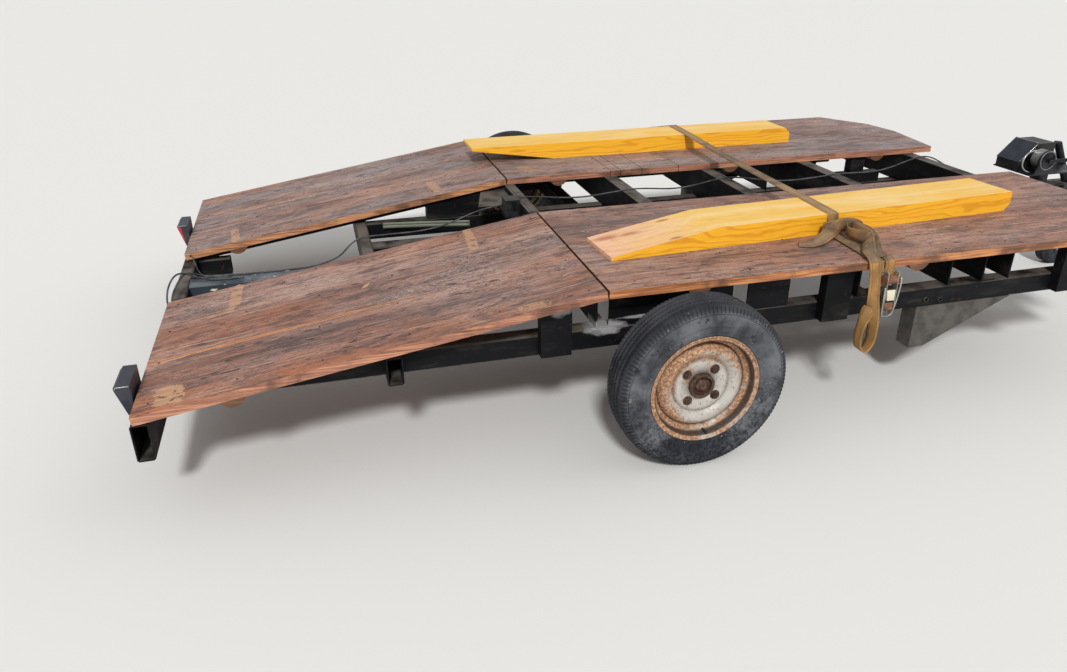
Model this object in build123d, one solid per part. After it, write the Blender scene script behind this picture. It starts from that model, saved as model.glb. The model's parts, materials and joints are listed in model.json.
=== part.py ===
# Single-axle flat-bed trailer for carrying a car, with two plank runways. Millimetres.
# +X points forward to the coupling, +Y to the trailer's left, +Z up.
# Every piece is laid out from the axle's line on the ground, where x = 0, y = 0 and z = 0. At the end
# the whole trailer is moved along X so that the origin is the middle of its footprint.
from build123d import *
import os
from math import atan2, cos, degrees, hypot, radians, sin, tan

# Deck: two runways of boards, level in front and sloping down at the rear
deck_width = 2180
runway_gap = 520
deck_height = 562
board_thickness = 27
joint_x = -258
joint_gap = 8
ramp_run = 1391
ramp_drop = 220
deck_front_x = 1968
level_seam_inset = 458
ramp_seam_inset = 328
board_seam = 4

# The left runway's front end is sawn askew and has lost its corner; its inner board is patched
front_skew = 57
torn_corner_along = 146
torn_corner_across = 255
torn_corner_step = 24
patch_cuts_x = (235, 284, 390, 574)
patch_cut = 3

# Half-log battens nailed under the boards. Columns: side, cross member behind it, gap in front of that one
batten_width = 78
batten_depth = 25
batten_inset = 2
batten_clear = 1
level_battens = (("right", "joint", 230), ("right", "second", 58), ("right", "third", 352),
                 ("left", "joint", 172), ("left", "second", 58), ("left", "third", 352))
# Columns: side, distance down the slope from the joint
ramp_battens = (("right", 1094), ("left", 1154))

# Longitudinal rails, all standing on one level
rail_bottom = 328
rail_depth = 72
rail_wall = 4
corner_cut = 5
side_rail_width = 60
side_rail_inset = 85
inner_rail_width = 50
inner_rail_lap = 70
inner_stub = 130
frame_front_x = 1862

# Cross members: folded channels that carry the boards
member_flange = 60
member_wall = 5
member_names = ("first", "second", "third", "fourth")
member_rear_x = (205, 690, 1205, 1802)
joint_member_rear_x = -266
joint_member_flange = 43
gusset_size = 95
gusset_thickness = 6

# Plate behind the joint on the left, its corners named by how far they lie behind the member and across
joint_plate = ((0, 278), (107, 278), (164, 48), (0, 48))

# Web plates between the side rails and the level boards. Columns: member behind it, how far forward of it
web_plates = (("joint", 428), ("first", 155))
web_plate_thickness = 5

# Angle-iron joists between the rails. Columns: cross member behind it, gap in front of that one
joists = (("second", 310), ("third", 55))
joist_flange = 40
joist_wall = 5

# Rear end: the beam under the ramps' tails, the low cross tube and the spine between them
rear_beam_width = 50
rear_beam_depth = 118
rear_beam_wall = 4
rear_beam_overhang = 6
low_tube_rear_x = -938
low_tube_width = 50
low_tube_drop = 13
low_tube_overhang = 50
spine_width = 100
spine_depth = 78
spine_lap = 420
bearer_width = 50
bearer_depth = 20
bearer_wall = 3

# Upright channels outside the side rails, and short posts on the inner rails
post_width = 100
post_depth = 40
post_wall = 5
post_foot_rise = 10
joint_post_x = -408
middle_post_x = 585
post_batten_gap = 2
inner_post_length = 76
joint_inner_post_length = 235
joint_inner_post_x = -502
post_foot_length = 270
post_foot_height = 50

# Folded stay under each side rail
stay_rear_x = 950
stay_length = 400
stay_drop = 163
stay_width = 70
stay_wall = 4
stay_foot = 60

# Drawbar and its braces
drawbar_width = 80
drawbar_wall = 5
drawbar_front_x = 3010
brace_width = 50
brace_depth = 60
brace_front_x = 2440

# Axle with rubber-sprung trailing arms
axle_tube = 70
axle_wall = 6
axle_tube_x = 150
arm_wheel_gap = 15
arm_thickness = 24
arm_width = 62
stub_radius = 17.5
stub_collar_radius = 26
stub_collar = 30

# Wheels: a 13 inch steel rim and a narrow car tyre
tyre_gap = 47.5
tyre_radius = 281
tyre_width = 145
tread_width = 104
widest_radius = 232
bead_gap = 0.3
bead_lean = 0.3
rim_flange_radius = 178
bead_radius = 165
rim_well_radius = 146
rim_well_outer = 22
rim_well_inner = -36
rim_half_width = 60
rim_thickness = 3.5
# Pressed wheel disc. Columns: outwards from the wheel's middle plane, radius
disc_profile = ((29, 42), (29, 93), (39, 118), (13, 143))
disc_thickness = 4
bolt_circle = 130
bolt_hole_radius = 7.5
bolt_count = 4
bolt_turn = 50
drum_radius = 112
drum_depth = 58
hub_pad_radius = 84
hub_pad = 12
hub_nose_radius = 41
hub_nose_wall = 9
hub_nose = 15
hub_running_gap = 0.05

# Jockey wheel on the right of the drawbar
jockey_x = 2590
jockey_gap = 14
jockey_tube_radius = 24
jockey_tube_wall = 3
jockey_tube_length = 420
jockey_tube_bottom = 318
jockey_inner_radius = 20.9
jockey_inner_wall = 3
jockey_inner_length = 400
jockey_roller_radius = 90
jockey_roller_width = 50
jockey_trail = 38
fork_thickness = 5
fork_clear = 4
fork_crown = 8
fork_roller_gap = 14
fork_half_top = 30
fork_half_foot = 16
fork_spigot = 30
pin_radius = 8
pin_stand_out = 5
clamp_height = 60
clamp_thickness = 8
clamp_half_length = 45
clamp_web = 20
crank_reach = 95
crank_cap = 8
crank_shaft_radius = 7
crank_shaft = 34
crank_arm = 8
grip_radius = 11
grip_length = 80

# Ball coupling
ball_radius = 25
coupling_lap = 120
coupling_half_width = 34
coupling_plate = 8
neck_half_width = 27
neck_height = 34
cup_wall = 13
cup_height = 62
ball_forward = 175
ball_below_top = 10
lever_length = 150
lever_half_width = 9
lever_thickness = 12
lever_rise = 8

# Winch stand: a short post with a bracket that carries the winch and a small box, and a sloping brace
stand_x = 2420
stand_width = 60
stand_height = 94
bracket_rear_x = 2200
bracket_front_x = 2535
bracket_half_width = 76
bracket_thickness = 6
brace_tube_radius = 18
brace_foot_x = 2597
brace_lean = 117
brace_rise = 210
box_width = 140
box_rear_height = 38
box_slope_run = 90
box_slope_rise = 87
box_length = 190
box_wall = 3
box_setback = 5
box_mouth_over = 9
lid_thickness = 6
lid_gap = 0.3
drum_centre_x = 2290
drum_centre_rise = 62
shaft_radius = 9
drum_flange_radius = 48
winding_radius = 40
drum_length = 70
drum_flange = 4
cheek_thickness = 4
cheek_length = 130
cheek_height = 74
cheek_gap = 1
crank_lever = 150

# Tail lamps. Columns: side, how far in from the boards' edge its middle lies
lamp_places = (("right", 174), ("left", 500))
lamp_width = 134
lamp_height = 96
lamp_depth = 45
lamp_hood = 9
lamp_foot_depth = 20
lamp_edge = 7
lens_depth = 16
lens_inset = 4
lamp_rise = 75

# Timber loading ramps, stowed flat on the runways and strapped down.
# Columns: side, rear end, how far in from the boards' edge its middle lies there, turn, taper uppermost
timbers = (("right", -170, 346, 3.7, True), ("left", -352, 422, 0, False))
timber_length = 1682
timber_width = 216
timber_thickness = 73
nose_length = 405
nose_thickness = 13
heel_bevel = 26

# Lashing strap over both timbers, with its ratchet hanging below the right edge
strap_x = 730
strap_turn = 2.7
strap_width = 45
strap_thickness = 3
strap_clear = 0.3
strap_tail_drop = 300
strap_tail_return = 190
strap_tail_gap = 26
strap_hook_drop = 45
strap_deck_inset = 205
ratchet_offset_x = 52
ratchet_width = 52
ratchet_length = 165
ratchet_depth = 34
ratchet_plate = 3
ratchet_spool_radius = 16
ratchet_bar_radius = 6
ratchet_drop = 62

# Lead from the rear beam through a junction box to a plug on the drawbar
lead_radius = 4
lead_sides = 4
lead_rise = 0.3
lead_over_tube = 2
lead_over_member = 4
lead_y = 30
junction_length = 64
junction_width = 74
junction_height = 76
junction_below_deck = 14
junction_y = 4
gland_offset = 18
gland_depth = 34
plug_radius = 19
plug_length = 70
plug_x = 2790

ramp_angle = atan2(ramp_drop, ramp_run)
ramp_length = hypot(ramp_run, ramp_drop)
deck_under = deck_height - board_thickness
rail_top = rail_bottom + rail_depth
rear_edge_x = joint_x - ramp_run
runway_inner_y = runway_gap / 2
runway_outer_y = deck_width / 2
side_rail_outer_y = runway_outer_y - side_rail_inset
flange_inner = rim_half_width - rim_thickness
inner_rail_outer_y = runway_inner_y + inner_rail_lap
low_tube_front_x = low_tube_rear_x + low_tube_width
beam_front_x = rear_edge_x - rear_beam_overhang + rear_beam_width
level_seam_y = runway_outer_y - level_seam_inset
ramp_seam_y = runway_outer_y - ramp_seam_inset
strap_deck_y = runway_outer_y - strap_deck_inset
# Front faces of the cross members
member_fronts = {name: x + member_flange for name, x in zip(member_names, member_rear_x)}
member_fronts["joint"] = joint_member_rear_x + joint_member_flange
front_post_x = member_fronts["third"] + level_battens[2][2] - post_batten_gap - post_width / 2
wheel_centre_y = runway_outer_y + tyre_gap + tyre_width / 2
arm_inner_y = wheel_centre_y - tyre_width / 2 - arm_wheel_gap - arm_thickness
low_tube_bottom = rail_bottom - low_tube_drop
hub_face_y = wheel_centre_y + disc_profile[0][0] - disc_thickness / 2
jockey_y = -(drawbar_width / 2 + jockey_gap + jockey_tube_radius)
fork_top = 2 * jockey_roller_radius + fork_roller_gap
ball = Vector(drawbar_front_x + ball_forward, 0, rail_top - ball_below_top)
bracket_top = rail_top + stand_height + bracket_thickness
box_rear_x = bracket_rear_x + box_setback
ratchet_x = strap_x - runway_outer_y * tan(radians(strap_turn)) + ratchet_offset_x
lid_hinge = Vector(box_rear_x + box_slope_run, 0, bracket_top + box_rear_height + box_slope_rise)
sides = (("right", -1), ("left", 1))
nodes = {}


def block(x0, x1, y0, y1, z0, z1):
    """A plain block between two corners, given in any order."""
    middle = ((x0 + x1) / 2, (y0 + y1) / 2, (z0 + z1) / 2)
    return Pos(*middle) * Box(abs(x1 - x0), abs(y1 - y0), abs(z1 - z0))


def section(width, depth, wall, cut=corner_cut):
    """A square or flat hollow section's outline, centred on its own axis, its corners cut off."""
    outer = chamfer(Rectangle(width, depth).vertices(), min(cut, wall * 1.5))
    return outer - Rectangle(width - 2 * wall, depth - 2 * wall)


def channel(width, depth, wall):
    """A folded channel's outline, open towards +x of its sketch, its web on the left."""
    return Rectangle(width, depth) - Pos(wall, 0) * Rectangle(width, depth - 2 * wall)


def along_x(outline, x0, x1, y, z):
    """An outline drawn in Y and Z, run from x0 to x1."""
    plane = Plane(origin=(x0, y, z), x_dir=(0, 1, 0), z_dir=(1, 0, 0))
    return extrude(plane * outline, x1 - x0)


def along_y(outline, x, y0, y1, z):
    """An outline drawn in X and Z, run from y0 to y1."""
    plane = Plane(origin=(x, y1, z), x_dir=(1, 0, 0), z_dir=(0, -1, 0))
    return extrude(plane * outline, y1 - y0)


def side_view(points, y0, y1):
    """A plate or block whose outline is drawn in X and Z, between two distances across."""
    return along_y(make_face(Polyline(*points, close=True)), 0, min(y0, y1), max(y0, y1), 0)


def round_bar(radius, x, y0, y1, z):
    """A round bar that runs across the trailer."""
    return Pos(x, (y0 + y1) / 2, z) * Rot(90, 0, 0) * Cylinder(radius, abs(y1 - y0))


def ramp_under(x, below=0):
    """Height of the sloping boards' underside at x, or of a line that far below it, square to it."""
    return deck_height - (joint_x - x) * tan(ramp_angle) - (board_thickness + below) / cos(ramp_angle)


def on_ramp(shape):
    """Places a shape made at the joint's top edge, with x along the slope and z square to it."""
    return Pos(joint_x, 0, deck_height) * Rot(0, -degrees(ramp_angle), 0) * shape


def above_ramp(below):
    """Everything above the plane that lies this far below the sloping boards' top."""
    return on_ramp(block(-2 * ramp_length, ramp_length, -deck_width, deck_width, -below, deck_height))


def rails():
    over = above_ramp(board_thickness + bearer_depth)
    z = rail_bottom + rail_depth / 2
    for side, s in sides:
        outline = section(side_rail_width, rail_depth, rail_wall)
        y = s * (side_rail_outer_y - side_rail_width / 2)
        front = along_x(outline, low_tube_front_x, frame_front_x, y, z) - over
        rear = along_x(outline, beam_front_x, low_tube_rear_x, y, z) - over
        nodes[f"side_rail_{side}"] = [front, rear]
        outline = section(inner_rail_width, rail_depth, rail_wall)
        y = s * (inner_rail_outer_y - inner_rail_width / 2)
        front = along_x(outline, low_tube_front_x, frame_front_x, y, z) - over
        stub_z = ramp_under(beam_front_x, bearer_depth) - rail_depth / 2
        stub = along_x(outline, beam_front_x, beam_front_x + inner_stub, y, stub_z) - over
        nodes[f"inner_rail_{side}"] = [front, stub]


def cross_members():
    depth = deck_under - rail_top
    outline = channel(member_flange, depth, member_wall)
    half = side_rail_outer_y
    nodes["cross_members"] = [along_y(outline, x + member_flange / 2, -half, half, rail_top + depth / 2)
                              for x in member_rear_x]
    top = ramp_under(joint_member_rear_x)
    low = channel(joint_member_flange, top - rail_top, member_wall)
    middle = joint_member_rear_x + joint_member_flange / 2
    joint_member = along_y(low, middle, -half, half, (top + rail_top) / 2)
    strip = block(joint_x + joint_gap / 2, member_fronts["joint"], -half, half, top, deck_under)
    corner = ((0, -runway_inner_y), (gusset_size, -runway_inner_y), (0, gusset_size - runway_inner_y))
    made = joint_member + strip
    for outline in (corner, joint_plate):
        under = ramp_under(joint_member_rear_x - max(back for back, y in outline))
        flat = make_face(Polyline(*((joint_member_rear_x - back, y) for back, y in outline), close=True))
        made = made + extrude(Pos(0, 0, under - gusset_thickness) * flat, gusset_thickness)
    nodes["joint_cross_member"] = made


def runway_joists():
    """Angle irons between the rails of each runway, standing on the rails."""
    depth = deck_under - rail_top
    made = []
    for member, gap in joists:
        rear = member_fronts[member] + gap
        for side, s in sides:
            y0, y1 = s * (inner_rail_outer_y - inner_rail_width), s * side_rail_outer_y
            web = block(rear, rear + joist_wall, y0, y1, rail_top, deck_under)
            made.append(web + block(rear, rear + joist_flange, y0, y1, deck_under - joist_wall, deck_under))
    nodes["runway_joists"] = made


def rear_end():
    top = ramp_under(rear_edge_x)
    outline = section(rear_beam_width, rear_beam_depth, rear_beam_wall)
    beam = along_y(outline, beam_front_x - rear_beam_width / 2, -runway_outer_y, runway_outer_y,
                   top - rear_beam_depth / 2)
    nodes["rear_beam"] = beam - on_ramp(block(-2 * ramp_length, 0, -deck_width, deck_width,
                                              -board_thickness, deck_height))
    low_top = ramp_under(low_tube_rear_x, bearer_depth)
    low = section(low_tube_width, low_top - low_tube_bottom, rail_wall)
    half = side_rail_outer_y + low_tube_overhang
    nodes["low_cross_tube"] = along_y(low, low_tube_rear_x + low_tube_width / 2, -half, half,
                                      (low_top + low_tube_bottom) / 2)
    spine = section(spine_width, spine_depth, rail_wall)
    nodes["rear_spine"] = along_x(spine, beam_front_x, low_tube_rear_x + spine_lap, 0,
                                  low_tube_bottom - spine_depth / 2)
    for side, s in sides:
        made = []
        for outer in (side_rail_outer_y, inner_rail_outer_y):
            y = s * (outer - bearer_width / 2)
            flat = section(bearer_width, bearer_depth, bearer_wall)
            long = on_ramp(along_x(flat, -ramp_length, 0, y, -board_thickness - bearer_depth / 2))
            zone = block(beam_front_x, joint_member_rear_x, -deck_width, deck_width, 0, deck_height)
            made.append(long & zone)
        nodes[f"ramp_bearers_{side}"] = made


def side_posts():
    """Upright channels outside the side rails, and the web plates that stand on the rails beside them."""
    over = above_ramp(board_thickness)
    low = rail_bottom + post_foot_rise
    web_top = deck_under - batten_depth - batten_clear
    for side, s in sides:
        made = []
        for x in (joint_post_x, middle_post_x, front_post_x):
            outline = Rectangle(post_width, post_depth)
            hollow = Pos(0, s * -post_wall) * Rectangle(post_width - 2 * post_wall, post_depth)
            at = Pos(x, s * (side_rail_outer_y + post_depth / 2), low)
            made.append(extrude(at * (outline - hollow), deck_under - low) - over)
        outer, inner = s * side_rail_outer_y, s * (side_rail_outer_y - web_plate_thickness)
        for member, length in web_plates:
            start = member_fronts[member]
            made.append(block(start, start + length, inner, outer, rail_top, web_top))
        nodes[f"side_posts_{side}"] = made


def inner_posts():
    """Short posts that carry the boards over the inner rails, the front ones on a longer foot."""
    over = above_ramp(board_thickness + bearer_depth)
    made = []
    for side, s in sides:
        y0, y1 = s * (inner_rail_outer_y - inner_rail_width), s * inner_rail_outer_y
        half = joint_inner_post_length / 2
        x0, x1 = joint_inner_post_x - half, joint_inner_post_x + half
        made.append(block(x0, x1, y0, y1, rail_top, deck_under) - over)
        half = inner_post_length / 2
        foot = block(front_post_x - post_foot_length / 2, front_post_x + post_foot_length / 2, y0, y1,
                     rail_top, rail_top + post_foot_height)
        made.append(foot + block(front_post_x - half, front_post_x + half, y0, y1, rail_top, deck_under))
    nodes["inner_posts"] = made


def stays():
    for side, s in sides:
        foot_z = rail_bottom - stay_drop
        outline = make_face(Polyline((stay_rear_x, rail_bottom), (stay_rear_x, foot_z),
                                     (stay_rear_x + stay_foot, foot_z),
                                     (stay_rear_x + stay_length, rail_bottom), close=True))
        outer_y, inner_y = s * side_rail_outer_y, s * (side_rail_outer_y - stay_width)
        full = along_y(outline, 0, min(outer_y, inner_y), max(outer_y, inner_y), 0)
        room = along_y(offset(outline, -stay_wall), 0, min(outer_y - s * stay_wall, inner_y - s * stay_wall),
                       max(outer_y - s * stay_wall, inner_y - s * stay_wall), 0)
        nodes[f"stay_bracket_{side}"] = full - room


def drawbar():
    z = rail_bottom + rail_depth / 2
    outline = section(drawbar_width, rail_depth, drawbar_wall)
    nodes["drawbar"] = along_x(outline, low_tube_front_x, drawbar_front_x, 0, z)
    for side, s in sides:
        start = Vector(frame_front_x, s * (inner_rail_outer_y - inner_rail_width / 2), z)
        end = Vector(brace_front_x, s * drawbar_width / 2, z)
        run = end - start
        plane = Plane(origin=start - run * 0.5, x_dir=Vector(-run.Y, run.X, 0), z_dir=run)
        bar = extrude(plane * section(brace_width, brace_depth, rail_wall), run.length * 2)
        zone = block(frame_front_x, brace_front_x + brace_width, s * drawbar_width / 2, s * deck_width,
                     0, deck_height)
        nodes[f"drawbar_brace_{side}"] = bar & zone


def axle():
    z = rail_bottom - axle_tube / 2
    tube = section(axle_tube, axle_tube, axle_wall)
    nodes["axle_beam"] = along_y(tube, axle_tube_x, -arm_inner_y, arm_inner_y, z)
    for side, s in sides:
        length = hypot(axle_tube_x, z - tyre_radius)
        turn = degrees(atan2(z - tyre_radius, axle_tube_x))
        outline = Pos(length / 2, 0) * SlotCenterToCenter(length, arm_width)
        plate = extrude(Plane.XZ * outline, arm_thickness / 2, both=True)
        face = arm_inner_y + arm_thickness
        plate = Pos(0, s * (face - arm_thickness / 2), tyre_radius) * Rot(0, -turn, 0) * plate
        collar = round_bar(stub_collar_radius, 0, s * face, s * (face + stub_collar), tyre_radius)
        stub = round_bar(stub_radius, 0, s * face, s * hub_face_y, tyre_radius)
        nodes[f"swing_arm_{side}"] = plate + collar + stub


def turned(outline, y, s):
    """Turns an outline, drawn as distance outwards and radius, round the wheel's axle."""
    ring = revolve(Plane.YZ * outline, Axis.Y)
    if s < 0:
        ring = mirror(ring, Plane.XZ)
    return Pos(0, s * y, tyre_radius) * ring


def thick_line(points, thickness):
    """The outline of a strip of even thickness that follows a line of points, with mitred corners."""
    left, right = [], []
    for i, (x, y) in enumerate(points):
        normals = []
        for a, b in ((i - 1, i), (i, i + 1)):
            if a >= 0 and b < len(points):
                dx, dy = points[b][0] - points[a][0], points[b][1] - points[a][1]
                normals.append((-dy / hypot(dx, dy), dx / hypot(dx, dy)))
        nx, ny = (sum(n[k] for n in normals) / len(normals) for k in (0, 1))
        scale = thickness / 2 / (nx ** 2 + ny ** 2)
        left.append((x + nx * scale, y + ny * scale))
        right.append((x - nx * scale, y - ny * scale))
    return make_face(Polyline(*left, *reversed(right), close=True))


def tyre_outline():
    """A tyre's section, solid because the rim closes it. The lower sidewalls lean in past the flanges."""
    half, tread, low = tyre_width / 2, tread_width / 2, bead_radius + bead_gap
    lean = (half - flange_inner + bead_lean) / (widest_radius - rim_flange_radius)
    seat = half - lean * (widest_radius - low)
    right = ((tread, tyre_radius), (half, widest_radius), (seat, low))
    left = [(-a, r) for a, r in reversed(right)]
    return make_face(Polyline(*left, *right, close=True))


def rim_barrel():
    """The rim's rolled section, from the inner flange to the outer one."""
    half = rim_thickness / 2
    end, flange, seat = rim_half_width - half, rim_flange_radius, bead_radius - half
    outer = [(rim_well_outer, rim_well_radius), (rim_well_outer, seat), (end, seat), (end, flange)]
    inner = [(-end, flange), (-end, seat), (rim_well_inner, seat), (rim_well_inner, rim_well_radius)]
    return thick_line(inner + outer, rim_thickness)


def wheels():
    for side, s in sides:
        y = wheel_centre_y
        nodes[f"tyre_{side}"] = turned(tyre_outline(), y, s)
        plate = turned(thick_line(disc_profile, disc_thickness), y, s)
        for k in range(bolt_count):
            at = Pos(0, s * (y + disc_profile[0][0]), tyre_radius)
            at = at * Rot(0, -bolt_turn - k * 360 / bolt_count, 0) * Pos(bolt_circle / 2, 0, 0)
            plate = plate - at * Rot(90, 0, 0) * Cylinder(bolt_hole_radius, 4 * disc_thickness)
        nodes[f"rim_{side}"] = turned(rim_barrel(), y, s) + plate
        face = hub_face_y
        drum = round_bar(drum_radius, 0, s * (face - drum_depth), s * (face - hub_pad), tyre_radius)
        pad = round_bar(hub_pad_radius, 0, s * (face - hub_pad), s * face, tyre_radius)
        nose = round_bar(hub_nose_radius, 0, s * face, s * (face + hub_nose), tyre_radius)
        mouth_radius = hub_nose_radius - hub_nose_wall
        mouth = round_bar(mouth_radius, 0, s * face, s * (face + 2 * hub_nose), tyre_radius)
        bore = round_bar(stub_radius + hub_running_gap, 0, 0, s * (face + 1), tyre_radius)
        nodes[f"hub_drum_{side}"] = drum + pad + nose - mouth - bore


def jockey_wheel():
    x, y, low = jockey_x, jockey_y, jockey_tube_bottom
    tube = Cylinder(jockey_tube_radius, jockey_tube_length)
    tube = tube - Cylinder(jockey_tube_radius - jockey_tube_wall, jockey_tube_length)
    nodes["jockey_outer_tube"] = Pos(x, y, low + jockey_tube_length / 2) * tube
    top = low + jockey_tube_length
    cap = Pos(x, y, top + crank_cap / 2) * Cylinder(jockey_tube_radius, crank_cap)
    shaft = Pos(x, y, top + crank_cap + crank_shaft / 2) * Cylinder(crank_shaft_radius, crank_shaft)
    arm_z = top + crank_cap + crank_shaft - crank_arm
    half = crank_arm / 2
    arm = block(x - crank_arm, x + crank_reach, y - half, y + half, arm_z, arm_z + crank_arm)
    grip_place = Pos(x + crank_reach - grip_radius, y, arm_z + crank_arm + grip_length / 2)
    grip = grip_place * Cylinder(grip_radius, grip_length)
    nodes["jockey_crank"] = cap + shaft + arm + grip
    mid = rail_bottom + rail_depth / 2
    ring = Cylinder(jockey_tube_radius + clamp_thickness, clamp_height)
    ring = ring - Cylinder(jockey_tube_radius, clamp_height)
    z0, z1 = mid - clamp_height / 2, mid + clamp_height / 2
    side = -drawbar_width / 2
    plate = block(x - clamp_half_length, x + clamp_half_length, side - clamp_thickness, side, z0, z1)
    web = block(x - clamp_web / 2, x + clamp_web / 2, y + jockey_tube_radius + 1, side, z0, z1)
    nodes["jockey_clamp"] = Pos(x, y, mid) * ring + plate + web
    inner = Cylinder(jockey_inner_radius, jockey_inner_length)
    inner = inner - Cylinder(jockey_inner_radius - jockey_inner_wall, jockey_inner_length)
    nodes["jockey_inner_tube"] = Pos(x, y, fork_top + fork_crown + 1 + jockey_inner_length / 2) * inner
    roller_x = x - jockey_trail
    half = jockey_roller_width / 2 + fork_clear
    outside = half + fork_thickness
    rear, ahead = roller_x - fork_half_top, x + fork_half_top
    fork = block(rear, ahead, y - outside, y + outside, fork_top, fork_top + fork_crown)
    foot_z = jockey_roller_radius - fork_half_foot
    cheek = ((ahead, fork_top), (rear, fork_top),
             (roller_x - fork_half_foot, foot_z), (roller_x + fork_half_foot, foot_z))
    for s in (-1, 1):
        fork = fork + side_view(cheek, y + s * half, y + s * outside)
    reach = outside + pin_stand_out
    pin = round_bar(pin_radius, roller_x, y - reach, y + reach, jockey_roller_radius)
    spigot = Cylinder(jockey_inner_radius - jockey_inner_wall - hub_running_gap, fork_spigot)
    nodes["jockey_fork"] = fork + pin + Pos(x, y, fork_top + fork_crown + fork_spigot / 2) * spigot
    r, half = jockey_roller_radius, jockey_roller_width / 2
    roller = round_bar(r, roller_x, y - half, y + half, r)
    nodes["jockey_roller"] = roller - round_bar(pin_radius + hub_running_gap, roller_x, y - reach, y + reach, r)


def coupling():
    top = rail_top
    half = coupling_half_width
    plate = block(drawbar_front_x - coupling_lap, drawbar_front_x, -half, half, top, top + coupling_plate)
    across = neck_half_width
    neck = block(drawbar_front_x, ball.X, -across, across, top - coupling_plate, top + neck_height)
    cup = Pos(ball.X, 0, top + neck_height - cup_height / 2) * Cylinder(ball_radius + cup_wall, cup_height)
    bore = Pos(ball.X, 0, ball.Z + ball_radius - cup_height / 2) * Cylinder(ball_radius, cup_height)
    nodes["coupling_head"] = plate + neck + cup - bore
    cup_top = top + neck_height
    y = lever_half_width
    low = cup_top + lever_rise
    lever = block(ball.X - lever_length, ball.X, -y, y, low, low + lever_thickness)
    nodes["coupling_lever"] = lever + block(ball.X - lever_thickness, ball.X, -y, y, cup_top, low)


def winch_stand():
    half = stand_width / 2
    post = section(stand_width, stand_width, rail_wall)
    nodes["winch_post"] = extrude(Pos(stand_x, 0, rail_top) * post, stand_height)
    foot = Vector(brace_foot_x, 0, rail_top)
    run = Vector(-brace_lean, 0, brace_rise)
    plane = Plane(origin=foot - run * 0.5, z_dir=run)
    brace = extrude(plane * Circle(brace_tube_radius), run.length * 1.5)
    brace = brace & block(bracket_rear_x, drawbar_front_x, -half, half, rail_top, rail_top + brace_rise)
    nodes["winch_brace"] = brace
    pair = 2 * cheek_thickness + 2 * cheek_gap + drum_length
    near = -box_width / 2 - cheek_gap - pair
    low = bracket_top - bracket_thickness
    base = block(bracket_rear_x, bracket_front_x, near, bracket_half_width, low, bracket_top)
    centre_z = bracket_top + drum_centre_rise
    cheeks = []
    x, wide, top = drum_centre_x, cheek_length / 2, bracket_top + cheek_height
    outline = ((x - wide, bracket_top), (x + wide, bracket_top), (x + wide / 2, top), (x - wide / 2, top))
    for y in (near, near + pair - cheek_thickness):
        cheeks.append(side_view(outline, y, y + cheek_thickness))
    shaft_room = round_bar(shaft_radius + hub_running_gap, x, near - 1, near + pair + 1, centre_z)
    frame = base + cheeks[0] + cheeks[1] - shaft_room
    nodes["winch_frame"] = frame - extrude(plane * Circle(brace_tube_radius), run.length * 1.5)
    y0 = near + cheek_thickness + cheek_gap
    y1 = y0 + drum_length
    drum = round_bar(winding_radius, x, y0 + drum_flange, y1 - drum_flange, centre_z)
    for y in (y0, y1 - drum_flange):
        drum = drum + round_bar(drum_flange_radius, x, y, y + drum_flange, centre_z)
    shaft = round_bar(shaft_radius, x, near - 2 * crank_arm, y0, centre_z)
    lever = block(x - crank_arm, x + crank_lever, near - 2 * crank_arm, near - crank_arm,
                  centre_z - crank_arm, centre_z + crank_arm)
    nodes["winch_drum"] = drum + shaft + lever


def front_box():
    """A small box whose rear top is a sloping lid."""
    x0, x1 = box_rear_x, box_rear_x + box_length
    low, slope_low, top = bracket_top, bracket_top + box_rear_height, lid_hinge.Z
    half, wall = box_width / 2, box_wall
    shell = side_view(((x0, low), (x1, low), (x1, top), (lid_hinge.X, top), (x0, slope_low)), -half, half)
    room = side_view(((x0 + wall, low + wall), (x1 - wall, low + wall), (x1 - wall, top - wall),
                      (lid_hinge.X, top - wall), (lid_hinge.X - box_mouth_over, top + wall),
                      (x0 - box_mouth_over, top + wall),
                      (x0 + wall, slope_low)), wall - half, half - wall)
    nodes["front_box"] = shell - room
    pitch = atan2(box_slope_rise, box_slope_run)
    out = (-sin(pitch), cos(pitch))
    ends = ((lid_hinge.X, top), (x0, slope_low))
    low, high = lid_gap, lid_gap + lid_thickness
    corners = ((ends[0], low), (ends[1], low), (ends[1], high), (ends[0], high))
    line = [(x + out[0] * d, z + out[1] * d) for (x, z), d in corners]
    nodes["box_lid"] = side_view(line, -half, half)


def lamps():
    """Moulded housings on the rear beam; the lens leans back down each rear face."""
    x = rear_edge_x - rear_beam_overhang
    top = ramp_under(rear_edge_x) + lamp_rise
    low, hood = top - lamp_height, top - lamp_hood
    back, foot = x - lamp_depth, x - lamp_foot_depth
    for side, inset in lamp_places:
        y = dict(sides)[side] * (runway_outer_y - inset)
        y0, y1 = y - lamp_width / 2, y + lamp_width / 2
        housing = side_view(((x, low), (x, top), (back + lamp_edge, top), (back, hood), (foot, low)), y0, y1)
        lens = side_view(((back, hood), (back + lens_depth, hood), (foot, low)), y0, y1 - lens_inset)
        if side == "right":
            lens = mirror(lens, Plane.XZ.offset(-y))
        nodes[f"tail_lamp_{side}"] = housing - lens
        nodes[f"tail_lens_{side}"] = lens


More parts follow.
